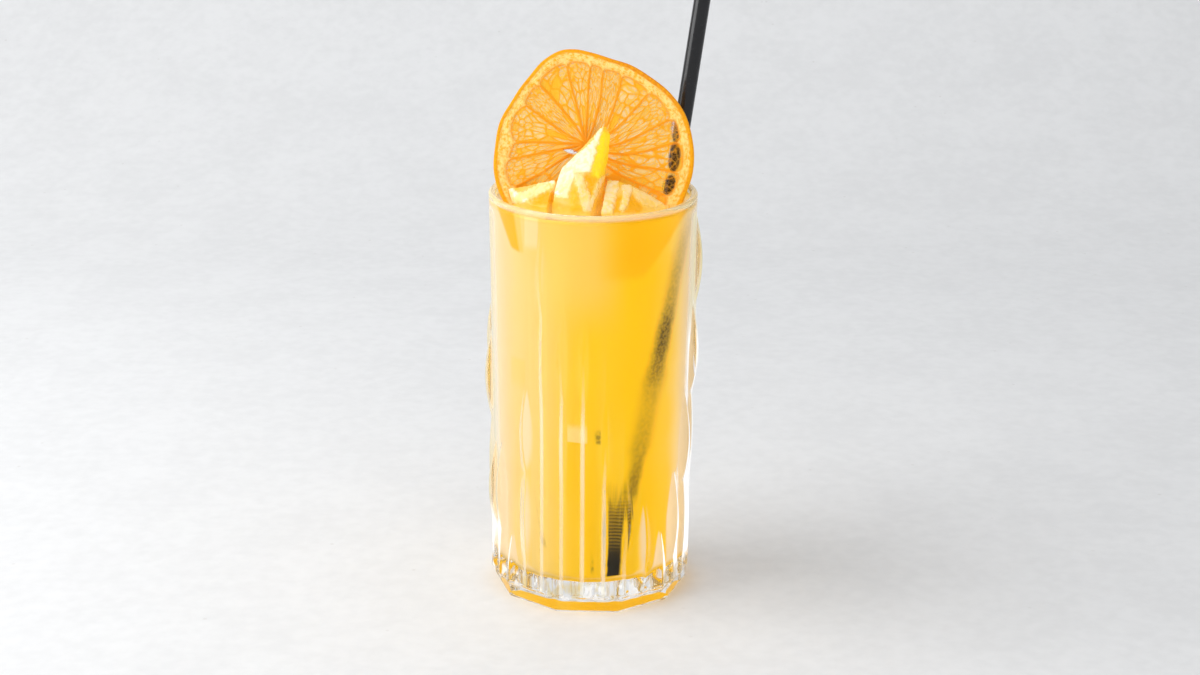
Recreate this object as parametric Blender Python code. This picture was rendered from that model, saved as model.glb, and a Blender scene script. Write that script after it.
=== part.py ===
"""An iced tea in a tall ribbed glass, with ice, a dried orange slice and a black straw.

Metres, +Z up. The origin is the middle of the glass's underside, and -Y is the front.
"""
import math

import bmesh
import bpy
from mathutils import Vector

GAP = 0.0003

# Glass: a straight tumbler with a plain rim, staggered ribs and a ten-sided foot.
GLASS_HEIGHT = 0.150
RIM_RADIUS = 0.0375
WAIST_RADIUS = 0.0361
WAIST_HEIGHT = 0.060
RIM_ROUNDING = 0.0013
INNER_RIM_RADIUS = 0.0349
INNER_FOOT_RADIUS = 0.0319
FLOOR_HEIGHT = 0.011
FLOOR_FILLET = 0.004
FOOT_SIDES = 10
FOOT_APOTHEM = 0.0342
FOOT_HEIGHT = 0.006
FOOT_BLEND = 0.003
FOOT_CHAMFER = 0.0006
FOOT_TURN = math.radians(-1.5)
UNDERSIDE_MIDDLE = 0.018

# Ribs: each starts as a pointed bulge at its own height and runs down as a low ridge.
RIB_COUNT = 30
RIB_PITCH = math.tau / RIB_COUNT
FIRST_RIB = math.radians(-27.6)
COLUMNS_PER_RIB = 3
ROW_HEIGHT = 0.0056
BULGE_LENGTH = 0.034
BULGE_POINT = 0.7
BULGE_HEIGHT = 0.0023
LOWER_BULGE_HEIGHT = 0.0009
RIDGE_HEIGHT = 0.0008
RIDGE_SHARPNESS = 1.4
FRONT_TOPS = (0.146, 0.116, 0.115, 0.084, 0.054, 0.044, 0.030, 0.050, 0.078, 0.110)
BACK_TOPS = (0.141, 0.124, 0.108, 0.090, 0.066, 0.044, 0.030, 0.056, 0.085, 0.115)
LEFT_TOPS = (0.142, 0.134, 0.128, 0.120, 0.110, 0.098, 0.058, 0.059, 0.026, 0.086)
RIB_TOPS = FRONT_TOPS + BACK_TOPS + LEFT_TOPS

# Drink
DRINK_LEVEL = 0.1465
DRINK_COLUMNS = 48

# Straw: a plain tube that stands on the floor at the front and leans on the rim.
STRAW_RADIUS = 0.0030
STRAW_WALL = 0.0003
STRAW_LENGTH = 0.240
STRAW_FOOT = Vector((0.0078, -0.0266, 0.0123))
STRAW_AT_RIM = Vector((0.0290, 0.0120, 0.1500))
STRAW_SIDES = 24

# Dried orange slice: a warped wheel that leans back on the rim, its foot in the drink.
SLICE_CORE = Vector((-0.0028, -0.0037, 0.1674))
SLICE_LEAN = math.radians(22)
SLICE_OUTLINE = (
    (3, 0.0379), (17, 0.0369), (31, 0.0350), (46, 0.0331), (61, 0.0323), (74, 0.0318),
    (87, 0.0328), (97, 0.0342), (106, 0.0349), (116, 0.0339), (128, 0.0319), (139, 0.0310),
    (151, 0.0307), (167, 0.0316), (183, 0.0322), (199, 0.0340), (208, 0.0350), (222, 0.0364),
    (245, 0.0410), (275, 0.0440), (305, 0.0430), (332, 0.0398), (345, 0.0394),
)
SLICE_RIND_THICKNESS = 0.0034
SLICE_EDGE_THICKNESS = 0.0020
SLICE_FLESH_THICKNESS = 0.0014
SLICE_MEMBRANE_THICKNESS = 0.0024
SLICE_CORE_THICKNESS = 0.0026
SLICE_CORE_REACH = 0.25
SLICE_CORE_BLEND = 0.20
SLICE_FLESH_ROWS = (0.10, 0.35, 0.62, 0.89)
SLICE_PITH_START = 0.92
SLICE_RIND_START = 0.98
SLICE_PITH_SHARE = 0.9
SLICE_CURL = 0.0040
SLICE_CURL_SPAN = 0.036
MEMBRANE_ANGLES = (0, 16, 36, 57, 75, 89, 104, 128, 150, 179, 192, 213, 240, 270, 300, 323, 342)
COLUMNS_PER_SEGMENT = 5

# Ice: broken blocks between the slice and the front of the glass, each the hull of its corners.
ICE_CORNERS = {
    "ice_peak": (
        (-0.0105, -0.0295, 0.1320), (-0.0012, -0.0312, 0.1320), (0.0010, -0.0235, 0.1320),
        (-0.0105, -0.0235, 0.1320), (-0.0146, -0.0265, 0.1460), (-0.0142, -0.0268, 0.1530),
        (-0.0070, -0.0303, 0.1520), (-0.0024, -0.0312, 0.1508), (-0.0006, -0.0312, 0.1490),
        (0.0016, -0.0240, 0.1578), (-0.0120, -0.0182, 0.1594), (-0.0108, -0.0158, 0.1618),
        (-0.0052, -0.0125, 0.1668), (-0.0024, -0.0113, 0.1690), (0.0004, -0.0095, 0.1712),
        (0.0019, -0.0082, 0.1738), (0.0033, -0.0078, 0.1755), (0.0048, -0.0078, 0.1753),
        (0.0062, -0.0086, 0.1726), (0.0055, -0.0120, 0.1674), (0.0044, -0.0150, 0.1617),
        (0.0036, -0.0160, 0.1560), (-0.0110, -0.0155, 0.1500),
    ),
    "ice_right": (
        (0.0040, -0.0300, 0.1330), (0.0180, -0.0255, 0.1330), (0.0205, -0.0215, 0.1340),
        (0.0056, -0.0220, 0.1330), (0.0030, -0.0316, 0.1480), (0.0029, -0.0312, 0.1502),
        (0.0066, -0.0311, 0.1501), (0.0110, -0.0302, 0.1504), (0.0131, -0.0296, 0.1506),
        (0.0165, -0.0284, 0.1498), (0.0225, -0.0238, 0.1492), (0.0262, -0.0180, 0.1490),
        (0.0246, -0.0190, 0.1503), (0.0166, -0.0178, 0.1546), (0.0135, -0.0165, 0.1562),
        (0.0090, -0.0163, 0.1576), (0.0050, -0.0165, 0.1580), (0.0050, -0.0160, 0.1480),
    ),
    "ice_left": (
        (-0.0225, -0.0224, 0.1350), (-0.0162, -0.0265, 0.1340), (-0.0150, -0.0228, 0.1340),
        (-0.0272, -0.0175, 0.1450), (-0.0158, -0.0294, 0.1480), (-0.0158, -0.0290, 0.1512),
        (-0.0200, -0.0262, 0.1508), (-0.0246, -0.0215, 0.1512), (-0.0276, -0.0180, 0.1516),
        (-0.0300, -0.0140, 0.1538), (-0.0280, -0.0160, 0.1490), (-0.0205, -0.0200, 0.1540),
        (-0.0133, -0.0176, 0.1580), (-0.0133, -0.0168, 0.1500),
    ),
}
ICE_ROUNDING = 0.0011
ICE_SHARP_EDGE = math.radians(20)

# Room that the drink leaves round what stands in it, more where faces are slanted
SLICE_ROOM_GAP = 1.3 * GAP
SLICE_ROOM_COLUMNS = 48
SLICE_ROOM_ROW = 0.5
ICE_ROOM_GAP = 1.5 * GAP
STRAW_ROOM_BELOW = 0.004


def clear_scene():
    for item in list(bpy.data.objects):
        bpy.data.objects.remove(item, do_unlink=True)


def make_material(name, colour, roughness, transmission=0.0):
    material = bpy.data.materials.new(name)
    material.use_nodes = True
    shader = material.node_tree.nodes["Principled BSDF"]
    shader.inputs["Base Color"].default_value = (*colour, 1.0)
    shader.inputs["Roughness"].default_value = roughness
    shader.inputs["Metallic"].default_value = 0.0
    shader.inputs["Transmission Weight"].default_value = transmission
    return material


def make_object(name, shape, material, smooth_below=40):
    """Turns a bmesh into a named object with one material, and frees the bmesh."""
    bmesh.ops.recalc_face_normals(shape, faces=shape.faces)
    mesh = bpy.data.meshes.new(name)
    shape.to_mesh(mesh)
    shape.free()
    item = bpy.data.objects.new(name, mesh)
    bpy.context.collection.objects.link(item)
    mesh.materials.append(material)
    mesh.shade_smooth()
    mesh.set_sharp_from_angle(angle=math.radians(smooth_below))
    return item


def add_ring(shape, points):
    return [shape.verts.new(point) for point in points]


def join_rings(shape, lower, upper):
    """Joins two rings of as many points with quads."""
    count = len(lower)
    for i in range(count):
        j = (i + 1) % count
        shape.faces.new((lower[i], lower[j], upper[j], upper[i]))


def close_ring(shape, ring, middle):
    """Closes a ring with triangles that meet at one point."""
    centre = shape.verts.new(middle)
    for i, vert in enumerate(ring):
        shape.faces.new((vert, ring[(i + 1) % len(ring)], centre))


def close_underside(shape, ring):
    """Closes the foot with one flat triangle round the axis, which the rest of it fans out to."""
    count = len(ring)
    third = count // 3
    corners = []
    for i in range(3):
        outward = ring[i * third + third // 2].co.normalized()
        corners.append(shape.verts.new(outward * UNDERSIDE_MIDDLE))
    for i, vert in enumerate(ring):
        shape.faces.new((vert, ring[(i + 1) % count], corners[i // third]))
    for i in range(3):
        shape.faces.new((ring[(i + 1) * third % count], corners[(i + 1) % 3], corners[i]))
    shape.faces.new(corners)


def smooth_step(value):
    value = min(1.0, max(0.0, value))
    return value * value * (3.0 - 2.0 * value)


def around(radius, angle, z):
    """A point at an angle measured from the front, towards +X."""
    return Vector((radius * math.sin(angle), -radius * math.cos(angle), z))


def plain_wall_radius(z):
    """The tumbler's outer wall without its ribs: a slight waist under a straight rim."""
    if z >= WAIST_HEIGHT:
        rise = (z - WAIST_HEIGHT) / (GLASS_HEIGHT - WAIST_HEIGHT)
        return WAIST_RADIUS + (RIM_RADIUS - WAIST_RADIUS) * rise
    return WAIST_RADIUS


def foot_radius(angle):
    """The ten-sided foot, with a flat facing just left of the front."""
    side = math.tau / FOOT_SIDES
    off_middle = (angle - FOOT_TURN + side / 2) % side - side / 2
    return FOOT_APOTHEM / math.cos(off_middle)


def rib_relief(angle, z):
    """How far the ribs stand out of the plain wall at one place."""
    steps = (angle - FIRST_RIB) / RIB_PITCH
    nearest = round(steps)
    across = abs(steps - nearest) * 2
    below_top = RIB_TOPS[nearest % RIB_COUNT] - z
    if below_top <= 0:
        return 0.0
    width = min(1.0, (2 * below_top / BULGE_LENGTH) ** BULGE_POINT)
    crest = max(0.0, 1.0 - across / width) ** RIDGE_SHARPNESS
    height = RIDGE_HEIGHT * smooth_step(below_top / BULGE_LENGTH)
    if below_top < BULGE_LENGTH:
        height += BULGE_HEIGHT * math.sin(math.pi * below_top / BULGE_LENGTH)
    elif below_top < 2 * BULGE_LENGTH:
        height += LOWER_BULGE_HEIGHT * math.sin(math.pi * (below_top / BULGE_LENGTH - 1))
    return height * crest


def outer_radius(angle, z):
    above_foot = smooth_step((z - FOOT_HEIGHT) / FOOT_BLEND + 0.5)
    ribbed = plain_wall_radius(z) + rib_relief(angle, z)
    return foot_radius(angle) * (1 - above_foot) + ribbed * above_foot


def inner_radius(z):
    rise = (z - FLOOR_HEIGHT) / (GLASS_HEIGHT - FLOOR_HEIGHT)
    return INNER_FOOT_RADIUS + (INNER_RIM_RADIUS - INNER_FOOT_RADIUS) * rise


def inner_profile(clearance=0.0, top=GLASS_HEIGHT, steps=3):
    """Radius and height of the inner wall, from the floor's edge up to the given height."""
    corner = inner_radius(FLOOR_HEIGHT) - FLOOR_FILLET
    profile = []
    for i in range(steps + 1):
        turn = math.pi / 2 * i / steps
        reach = FLOOR_FILLET - clearance
        radius = corner + reach * math.sin(turn)
        profile.append((radius, FLOOR_HEIGHT + FLOOR_FILLET - reach * math.cos(turn)))
    for i in range(1, 3):
        z = FLOOR_HEIGHT + FLOOR_FILLET + (top - FLOOR_HEIGHT - FLOOR_FILLET) * i / 2
        profile.append((inner_radius(z) - clearance, z))
    return profile


def make_glass(material):
    shape = bmesh.new()
    columns = RIB_COUNT * COLUMNS_PER_RIB
    angles = [FIRST_RIB + math.tau * i / columns for i in range(columns)]

    def outer_ring(z, inset=0.0):
        return add_ring(shape, [around(outer_radius(a, z) - inset, a, z) for a in angles])

    rings = [outer_ring(0.0, inset=FOOT_CHAMFER), outer_ring(FOOT_CHAMFER)]
    body_top = GLASS_HEIGHT - RIM_ROUNDING
    foot_edge, wall_foot = FOOT_HEIGHT - FOOT_BLEND / 2, FOOT_HEIGHT + FOOT_BLEND / 2
    rings.append(outer_ring(foot_edge))
    row_count = round((body_top - wall_foot) / ROW_HEIGHT)
    for i in range(row_count + 1):
        rings.append(outer_ring(wall_foot + (body_top - wall_foot) * i / row_count))

    rim_middle = (RIM_RADIUS + INNER_RIM_RADIUS) / 2
    for turn in (math.pi / 4, math.pi / 2, 3 * math.pi / 4):
        radius = rim_middle + RIM_ROUNDING * math.cos(turn)
        z = body_top + RIM_ROUNDING * math.sin(turn)
        rings.append(add_ring(shape, [around(radius, a, z) for a in angles]))

    for radius, z in reversed(inner_profile(top=body_top)):
        rings.append(add_ring(shape, [around(radius, a, z) for a in angles]))

    for lower, upper in zip(rings, rings[1:]):
        join_rings(shape, lower, upper)
    close_underside(shape, rings[0])
    close_ring(shape, rings[-1], Vector((0, 0, FLOOR_HEIGHT)))
    return make_object("glass", shape, material, smooth_below=25)


def make_straw(name, material, outer, inner, start, length):
    """A tube, or a rod where inner is nothing, along the straw's own line."""
    direction = (STRAW_AT_RIM - STRAW_FOOT).normalized()
    side = direction.orthogonal().normalized()
    other = direction.cross(side)
    shape = bmesh.new()

    def ring(radius, along):
        centre = STRAW_FOOT + direction * along
        turns = [math.tau * i / STRAW_SIDES for i in range(STRAW_SIDES)]
        points = [centre + (side * math.cos(t) + other * math.sin(t)) * radius for t in turns]
        return add_ring(shape, points)

    low, high = ring(outer, start), ring(outer, start + length)
    join_rings(shape, low, high)
    if inner:
        inner_low, inner_high = ring(inner, start), ring(inner, start + length)
        join_rings(shape, high, inner_high)
        join_rings(shape, inner_high, inner_low)
        join_rings(shape, inner_low, low)
    else:
        close_ring(shape, low, STRAW_FOOT + direction * start)
        close_ring(shape, high, STRAW_FOOT + direction * (start + length))
    return make_object(name, shape, material)


def slice_radius(degrees):
    """The slice's outline as a smooth closed curve through its few named points."""
    count = len(SLICE_OUTLINE)
    degrees %= 360
    after = next((i for i, point in enumerate(SLICE_OUTLINE) if point[0] > degrees), 0)
    a0, r0 = SLICE_OUTLINE[(after - 2) % count]
    a1, r1 = SLICE_OUTLINE[(after - 1) % count]
    a2, r2 = SLICE_OUTLINE[after]
    a3, r3 = SLICE_OUTLINE[(after + 1) % count]
    span = (a2 - a1) % 360
    t = ((degrees - a1) % 360) / span
    slope1 = (r2 - r0) / ((a2 - a0) % 360) * span
    slope2 = (r3 - r1) / ((a3 - a1) % 360) * span
    return ((2 * t**3 - 3 * t**2 + 1) * r1 + (t**3 - 2 * t**2 + t) * slope1
            + (3 * t**2 - 2 * t**3) * r2 + (t**3 - t**2) * slope2)


def slice_point(degrees, reach, outward, grow=0.0):
    """A point of the slice: reach runs from core to rind, outward is its height off the middle."""
    radius = (slice_radius(degrees) + grow) * reach
    across = radius * math.cos(math.radians(degrees))
    along = radius * math.sin(math.radians(degrees))
    curl = SLICE_CURL * (across / SLICE_CURL_SPAN) * (along / SLICE_CURL_SPAN)
    right = Vector((1, 0, 0))
    up = Vector((0, math.sin(SLICE_LEAN), math.cos(SLICE_LEAN)))
    front = Vector((0, -math.cos(SLICE_LEAN), math.sin(SLICE_LEAN)))
    return SLICE_CORE + right * across + up * along + front * (curl + outward)


def slice_columns():
    """Angles round the slice, with the share of the way from each one to a membrane."""
    columns = []
    for start, end in zip(MEMBRANE_ANGLES, MEMBRANE_ANGLES[1:] + (MEMBRANE_ANGLES[0] + 360,)):
        for i in range(COLUMNS_PER_SEGMENT):
            share = i / COLUMNS_PER_SEGMENT
            columns.append((start + (end - start) * share, share))
    return columns


def flesh_thickness(share, reach):
    """Flesh sinks between the membranes and thickens towards the core."""
    off_membrane = smooth_step(min(share, 1 - share) * COLUMNS_PER_SEGMENT)
    sunk = (SLICE_MEMBRANE_THICKNESS - SLICE_FLESH_THICKNESS) * off_membrane
    thickness = SLICE_MEMBRANE_THICKNESS - sunk
    near_core = smooth_step((SLICE_CORE_REACH - reach) / SLICE_CORE_BLEND)
    return thickness + (SLICE_CORE_THICKNESS - thickness) * near_core


def make_slice(material):
    shape = bmesh.new()
    columns = slice_columns()

    def ring(reach, thickness, side):
        points = []
        for degrees, share in columns:
            depth = thickness if thickness else flesh_thickness(share, reach)
            points.append(slice_point(degrees, reach, side * depth / 2))
        return add_ring(shape, points)

    front = [ring(reach, None, 1) for reach in SLICE_FLESH_ROWS]
    back = [ring(reach, None, -1) for reach in SLICE_FLESH_ROWS]
    for reach, thickness in ((SLICE_PITH_START, SLICE_RIND_THICKNESS * SLICE_PITH_SHARE),
                             (SLICE_RIND_START, SLICE_RIND_THICKNESS), (1.0, SLICE_EDGE_THICKNESS)):
        front.append(ring(reach, thickness, 1))
        back.append(ring(reach, thickness, -1))
    rings = front + back[::-1]
    for lower, upper in zip(rings, rings[1:]):
        join_rings(shape, lower, upper)
    close_ring(shape, rings[0], slice_point(0, 0, SLICE_CORE_THICKNESS / 2))
    close_ring(shape, rings[-1], slice_point(0, 0, -SLICE_CORE_THICKNESS / 2))
    return make_object("orange_slice", shape, material)


def make_slice_room(material):
    """The slice's plain outer form, grown by the gap, that the drink leaves free."""
    shape = bmesh.new()
    half = SLICE_RIND_THICKNESS / 2 + GAP
    angles = [360 * i / SLICE_ROOM_COLUMNS for i in range(SLICE_ROOM_COLUMNS)]
    rings = []
    for reach, side in ((SLICE_ROOM_ROW, 1), (1.0, 1), (1.0, -1), (SLICE_ROOM_ROW, -1)):
        points = [slice_point(a, reach, side * half, grow=SLICE_ROOM_GAP) for a in angles]
        rings.append(add_ring(shape, points))
    for lower, upper in zip(rings, rings[1:]):
        join_rings(shape, lower, upper)
    close_ring(shape, rings[0], slice_point(0, 0, half))
    close_ring(shape, rings[-1], slice_point(0, 0, -half))
    return make_object("slice_room", shape, material)


def ice_hull(corners, grow=0.0):
    """The hull of the corners, each pushed out from the middle by the same length."""
    shape = bmesh.new()
    middle = sum((Vector(corner) for corner in corners), Vector()) / len(corners)
    for corner in corners:
        away = Vector(corner) - middle
        shape.verts.new(middle + away + away.normalized() * grow)
    hull = bmesh.ops.convex_hull(shape, input=shape.verts)
    inside = {item for item in hull["geom_interior"] if isinstance(item, bmesh.types.BMVert)}
    bmesh.ops.delete(shape, geom=list(inside), context="VERTS")
    return shape


def make_ice(name, material):
    item = make_object(name, ice_hull(ICE_CORNERS[name]), material)
    rounding = item.modifiers.new("rounding", "BEVEL")
    rounding.width = ICE_ROUNDING
    rounding.segments = 1
    rounding.limit_method = "ANGLE"
    rounding.angle_limit = ICE_SHARP_EDGE
    return item


def keep_largest_piece(item):
    """Drops the scraps that a cut can leave, so that one body is left."""
    shape = bmesh.new()
    shape.from_mesh(item.data)
    unseen = set(shape.verts)
    pieces = []
    while unseen:
        piece, edge = set(), [unseen.pop()]
        while edge:
            vert = edge.pop()
            piece.add(vert)
            for link in vert.link_edges:
                other = link.other_vert(vert)
                if other in unseen:
                    unseen.discard(other)
                    edge.append(other)
        pieces.append(piece)
    pieces.sort(key=len)
    for piece in pieces[:-1]:
        bmesh.ops.delete(shape, geom=list(piece), context="VERTS")
    shape.to_mesh(item.data)
    shape.free()


def make_drink(material):
    """The tea up to its level, with room for the straw, the slice and the ice."""
    shape = bmesh.new()
    angles = [math.tau * i / DRINK_COLUMNS for i in range(DRINK_COLUMNS)]
    rings = []
    for radius, z in inner_profile(clearance=GAP, top=DRINK_LEVEL):
        rings.append(add_ring(shape, [around(radius, a, z) for a in angles]))
    for lower, upper in zip(rings, rings[1:]):
        join_rings(shape, lower, upper)
    close_ring(shape, rings[0], Vector((0, 0, FLOOR_HEIGHT + GAP)))
    close_ring(shape, rings[-1], Vector((0, 0, DRINK_LEVEL)))
    drink = make_object("iced_tea", shape, material)

    rooms = bpy.data.collections.new("rooms")
    bpy.context.scene.collection.children.link(rooms)
    cutters = [
        make_straw("straw_room", material, STRAW_RADIUS + GAP, None, -STRAW_ROOM_BELOW, STRAW_LENGTH),
        make_slice_room(material),
    ]
    for name, corners in ICE_CORNERS.items():
        cutters.append(make_object(name + "_room", ice_hull(corners, grow=ICE_ROOM_GAP), material))
    for cutter in cutters:
        bpy.context.collection.objects.unlink(cutter)
        rooms.objects.link(cutter)

    cut = drink.modifiers.new("rooms", "BOOLEAN")
    cut.operation = "DIFFERENCE"
    cut.solver = "EXACT"
    cut.operand_type = "COLLECTION"
    cut.collection = rooms
    cut.use_self = True
    bpy.context.view_layer.objects.active = drink
    bpy.ops.object.modifier_apply(modifier=cut.name)
    for cutter in cutters:
        bpy.data.objects.remove(cutter, do_unlink=True)
    bpy.data.collections.remove(rooms)
    keep_largest_piece(drink)
    return drink


def main():
    clear_scene()
    clear_glass = make_material("clear_glass", (0.96, 0.98, 0.98), 0.03, transmission=1.0)
    cloudy_tea = make_material("cloudy_tea", (0.90, 0.56, 0.10), 0.15)
    wet_ice = make_material("wet_ice", (0.95, 0.90, 0.70), 0.10, transmission=0.8)
    dried_orange = make_material("dried_orange", (0.85, 0.38, 0.05), 0.55)
    black_plastic = make_material("black_plastic", (0.01, 0.01, 0.01), 0.18)

    make_glass(clear_glass)
    make_drink(cloudy_tea)
    make_straw("straw", black_plastic, STRAW_RADIUS, STRAW_RADIUS - STRAW_WALL, 0.0, STRAW_LENGTH)
    make_slice(dried_orange)
    for name in ICE_CORNERS:
        make_ice(name, wet_ice)


main()
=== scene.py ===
import math

import bmesh
import bpy
import numpy as np
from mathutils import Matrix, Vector, noise


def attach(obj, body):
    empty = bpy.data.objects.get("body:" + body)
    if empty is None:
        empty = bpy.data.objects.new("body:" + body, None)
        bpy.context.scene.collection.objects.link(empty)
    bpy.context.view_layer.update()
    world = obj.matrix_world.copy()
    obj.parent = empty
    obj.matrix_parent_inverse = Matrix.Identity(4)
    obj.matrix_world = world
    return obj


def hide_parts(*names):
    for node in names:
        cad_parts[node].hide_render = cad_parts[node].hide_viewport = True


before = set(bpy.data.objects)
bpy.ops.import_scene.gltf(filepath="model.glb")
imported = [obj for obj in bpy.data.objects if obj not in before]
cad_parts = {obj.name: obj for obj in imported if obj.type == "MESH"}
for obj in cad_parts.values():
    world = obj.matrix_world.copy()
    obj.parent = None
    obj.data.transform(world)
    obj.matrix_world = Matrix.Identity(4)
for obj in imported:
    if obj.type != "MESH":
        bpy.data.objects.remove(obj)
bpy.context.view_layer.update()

MM = 0.001
SEED = 11

# Glass: the same sizes as its solid, with finer ribs.
GLASS_HEIGHT = 0.15
RIM_RADIUS = 0.0375
WAIST_RADIUS = 0.0361
WAIST_HEIGHT = 0.06
RIM_ROUNDING = 0.0013
INNER_RIM_RADIUS = 0.0349
INNER_FOOT_RADIUS = 0.0319
FLOOR_HEIGHT = 0.011
FLOOR_FILLET = 0.004
FOOT_SIDES = 10
FOOT_APOTHEM = 0.0342
FOOT_HEIGHT = 0.006
FOOT_BLEND = 0.003
FOOT_CHAMFER = 0.0006
FOOT_TURN = math.radians(-1.5)
RIB_COUNT = 30
FIRST_RIB = math.radians(-27.6)
BULGE_LENGTH = 0.034
BULGE_HEIGHT = 0.0023
LOWER_BULGE_HEIGHT = 0.0009
RIDGE_HEIGHT = 0.0008
RIDGE_SHARPNESS = 1.4
FRONT_TOPS = (0.146, 0.116, 0.115, 0.084, 0.054, 0.044, 0.03, 0.05, 0.078, 0.11)
BACK_TOPS = (0.141, 0.124, 0.108, 0.09, 0.066, 0.044, 0.03, 0.056, 0.085, 0.115)
LEFT_TOPS = (0.142, 0.134, 0.128, 0.12, 0.11, 0.098, 0.058, 0.059, 0.026, 0.086)
RIB_TOPS = FRONT_TOPS + BACK_TOPS + LEFT_TOPS
GLASS_COLUMNS = 360
GLASS_ROWS = 190
# What the ribbed wall's nodes are given
RIBBED_WALL_INPUTS = {
    "Columns": GLASS_COLUMNS, "Rib Count": RIB_COUNT, "First Rib": FIRST_RIB,
    "Bulge Length": BULGE_LENGTH, "Bulge Height": BULGE_HEIGHT, "Lower Bulge Height": LOWER_BULGE_HEIGHT,
    "Ridge Height": RIDGE_HEIGHT, "Ridge Sharpness": RIDGE_SHARPNESS, "Waist Radius": WAIST_RADIUS,
    "Foot Apothem": FOOT_APOTHEM, "Foot Side": math.tau / FOOT_SIDES, "Foot Turn": FOOT_TURN,
    "Foot Height": FOOT_HEIGHT, "Foot Blend": FOOT_BLEND,
}

# Drink
DRINK_LEVEL = 0.1465
DRINK_REACH = 0.0002
DRINK_COLUMNS = 360
DRINK_ROWS = 90
MENISCUS = 0.001
MENISCUS_REACH = 0.0011
# How much deeper (up to 1) or paler (down to -1) the tea looks in each strip between two ribs, painted
# light for how that strip of wall bends the light, and how far before a rib's crest the next strip
# starts, as a share of its width
STRIP_OFFSET = 0.02
STRIP_TONES = (
    -0.1, 0.6, 0.9, 0.5, 0.5, 0.0, 0.6, -0.3, 0.4, 0.1, -0.2, 0.5, -0.4, 0.3, 0.0,
    0.4, -0.2, 0.5, 0.1, -0.3, 0.3, 0.0, 0.4, -0.1, 0.2, -0.4, 0.1, -0.2, 0.3, -0.6,
)

# The tea's tone from left to right, with painted light that pales it toward both sides, most on the
# left: X in mm, and its colour
TEA_TONES = (
    (-33, (0.8, 0.585, 0.28)), (-29, (0.8, 0.585, 0.265)), (-26, (0.8, 0.592, 0.23)),
    (-22, (0.81, 0.585, 0.195)), (-16, (0.84, 0.573, 0.14)), (-12, (0.87, 0.573, 0.094)),
    (-7, (0.9, 0.563, 0.042)), (0, (0.93, 0.571, 0.012)), (8, (0.96, 0.588, 0.012)),
    (14, (0.98, 0.578, 0.004)), (20, (0.98, 0.563, 0.006)), (26, (0.98, 0.59, 0.04)),
    (29, (0.98, 0.65, 0.13)), (33, (0.98, 0.68, 0.23)),
)
DEEP_TEA = (0.93, 0.53, 0.001)
# Marks in the tea show on its front only: Y where they start to fade and where they end, from 1 to 0
TEA_FRONT = (-0.004, 0.0, 1.0, 0.0)
# Lights and marks in the tea behind the wall: strength, colour and sides (see patch)
TEA_LIGHTS = (
    (0.95, (0.8, 0.38, 0.001), ((-32, 147, -27.4, 134.6, 0.5), (-28.4, 135, -24.6, 133.8, 0.7),
                                (-24.7, 134, -26.6, 147, 0.6))),
    (0.45, (0.8, 0.48, 0.01), ((-32, 147, -27.4, 134.6, 0.5), (-28.4, 135, -23.4, 133.8, 0.9),
                               (-23.4, 134, -24.6, 147, 0.4))),
    (0.8, (0.82, 0.66, 0.33), ((-23, 136.5, -18.4, 136.5, 2), (-18.4, 136.5, -18.4, 147, 0.35),
                               (-23, 147, -23, 136.5, 0.25))),
    (0.7, (0.93, 0.69, 0.28), ((-8.7, 66.2, -2, 66, 0.25), (-2, 66, -2, 74, 0.3),
                               (-2, 72, -8.7, 72, 1.8), (-8.7, 74, -8.7, 66, 0.3))),
    (0.55, (0.9, 0.52, 0.004), ((-8.7, 42, -2, 42, 16), (-2, 42, -2, 66, 0.5),
                                (-2, 66, -8.7, 66.2, 0.25), (-8.7, 66, -8.7, 42, 0.4))),
    (0.3, (0.82, 0.56, 0.08), ((-27.5, 84, -22.7, 84, 3), (-22.7, 84, -22.7, 94, 0.4),
                               (-22.7, 94, -27.5, 94, 0.8), (-27.5, 94, -27.5, 84, 0.5))),
)
# Painted shade in the tea: strength and sides
TEA_PAINTED_SHADE = (
    (0.62, ((0.2, 15, 1.4, 15, 0.8), (1.4, 15, 0.8, 24, 0.5), (0.8, 22, -0.2, 22, 4),
            (-0.2, 24, 0.2, 15, 0.5))),
    (0.35, ((-16.2, 23.8, -15.4, 23.8, 0.4), (-15.4, 23.8, -15.9, 26.4, 0.3),
            (-16.6, 26.4, -16.2, 23.8, 0.3))),
    (0.8, ((1.4, 65.8, 4.6, 65.6, 0.8), (4.4, 65.6, 4.2, 70, 0.6), (4.4, 70.2, 1.4, 70.4, 1.4),
           (1.2, 70.4, 1.8, 65.8, 0.8))),
)
# The straw's shadow in the tea: its ends, then Z with how dark it is or with its half width in cm
STREAK_ENDS = (0.035, 0.145)
STREAK_DARKNESS = (
    (0.038, 0.0), (0.046, 0.62), (0.051, 0.57), (0.056, 0.5), (0.06, 0.44), (0.065, 0.38), (0.069, 0.35),
    (0.077, 0.29), (0.084, 0.36), (0.09, 0.58), (0.095, 0.7), (0.099, 0.78), (0.105, 0.82), (0.11, 0.66),
    (0.115, 0.46), (0.121, 0.4), (0.128, 0.38), (0.141, 0.2),
)
STREAK_HALF_WIDTHS = (
    (0.045, 0.2), (0.058, 0.2), (0.062, 0.3), (0.088, 0.3), (0.095, 0.22), (0.128, 0.19),
)
STRAW_END_DARKNESS = (
    (0.019, 1.0), (0.024, 0.98), (0.032, 0.93), (0.038, 0.8), (0.042, 0.55), (0.046, 0.2), (0.051, 0.0),
)

# Straw
STRAW_RADIUS = 0.003
STRAW_WALL = 0.0003
STRAW_LENGTH = 0.24
STRAW_FOOT = Vector((0.0078, -0.0266, 0.0123))
STRAW_AT_RIM = Vector((0.029, 0.012, 0.15))
STRAW_SIDES = 64
# Fine ridges across its lower end, seen through the wall
STRAW_RIDGE_STEP = 0.0013

# Dried orange slice
SLICE_CORE = Vector((-0.0028, -0.0037, 0.1674))
SLICE_LEAN = math.radians(22)
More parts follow.
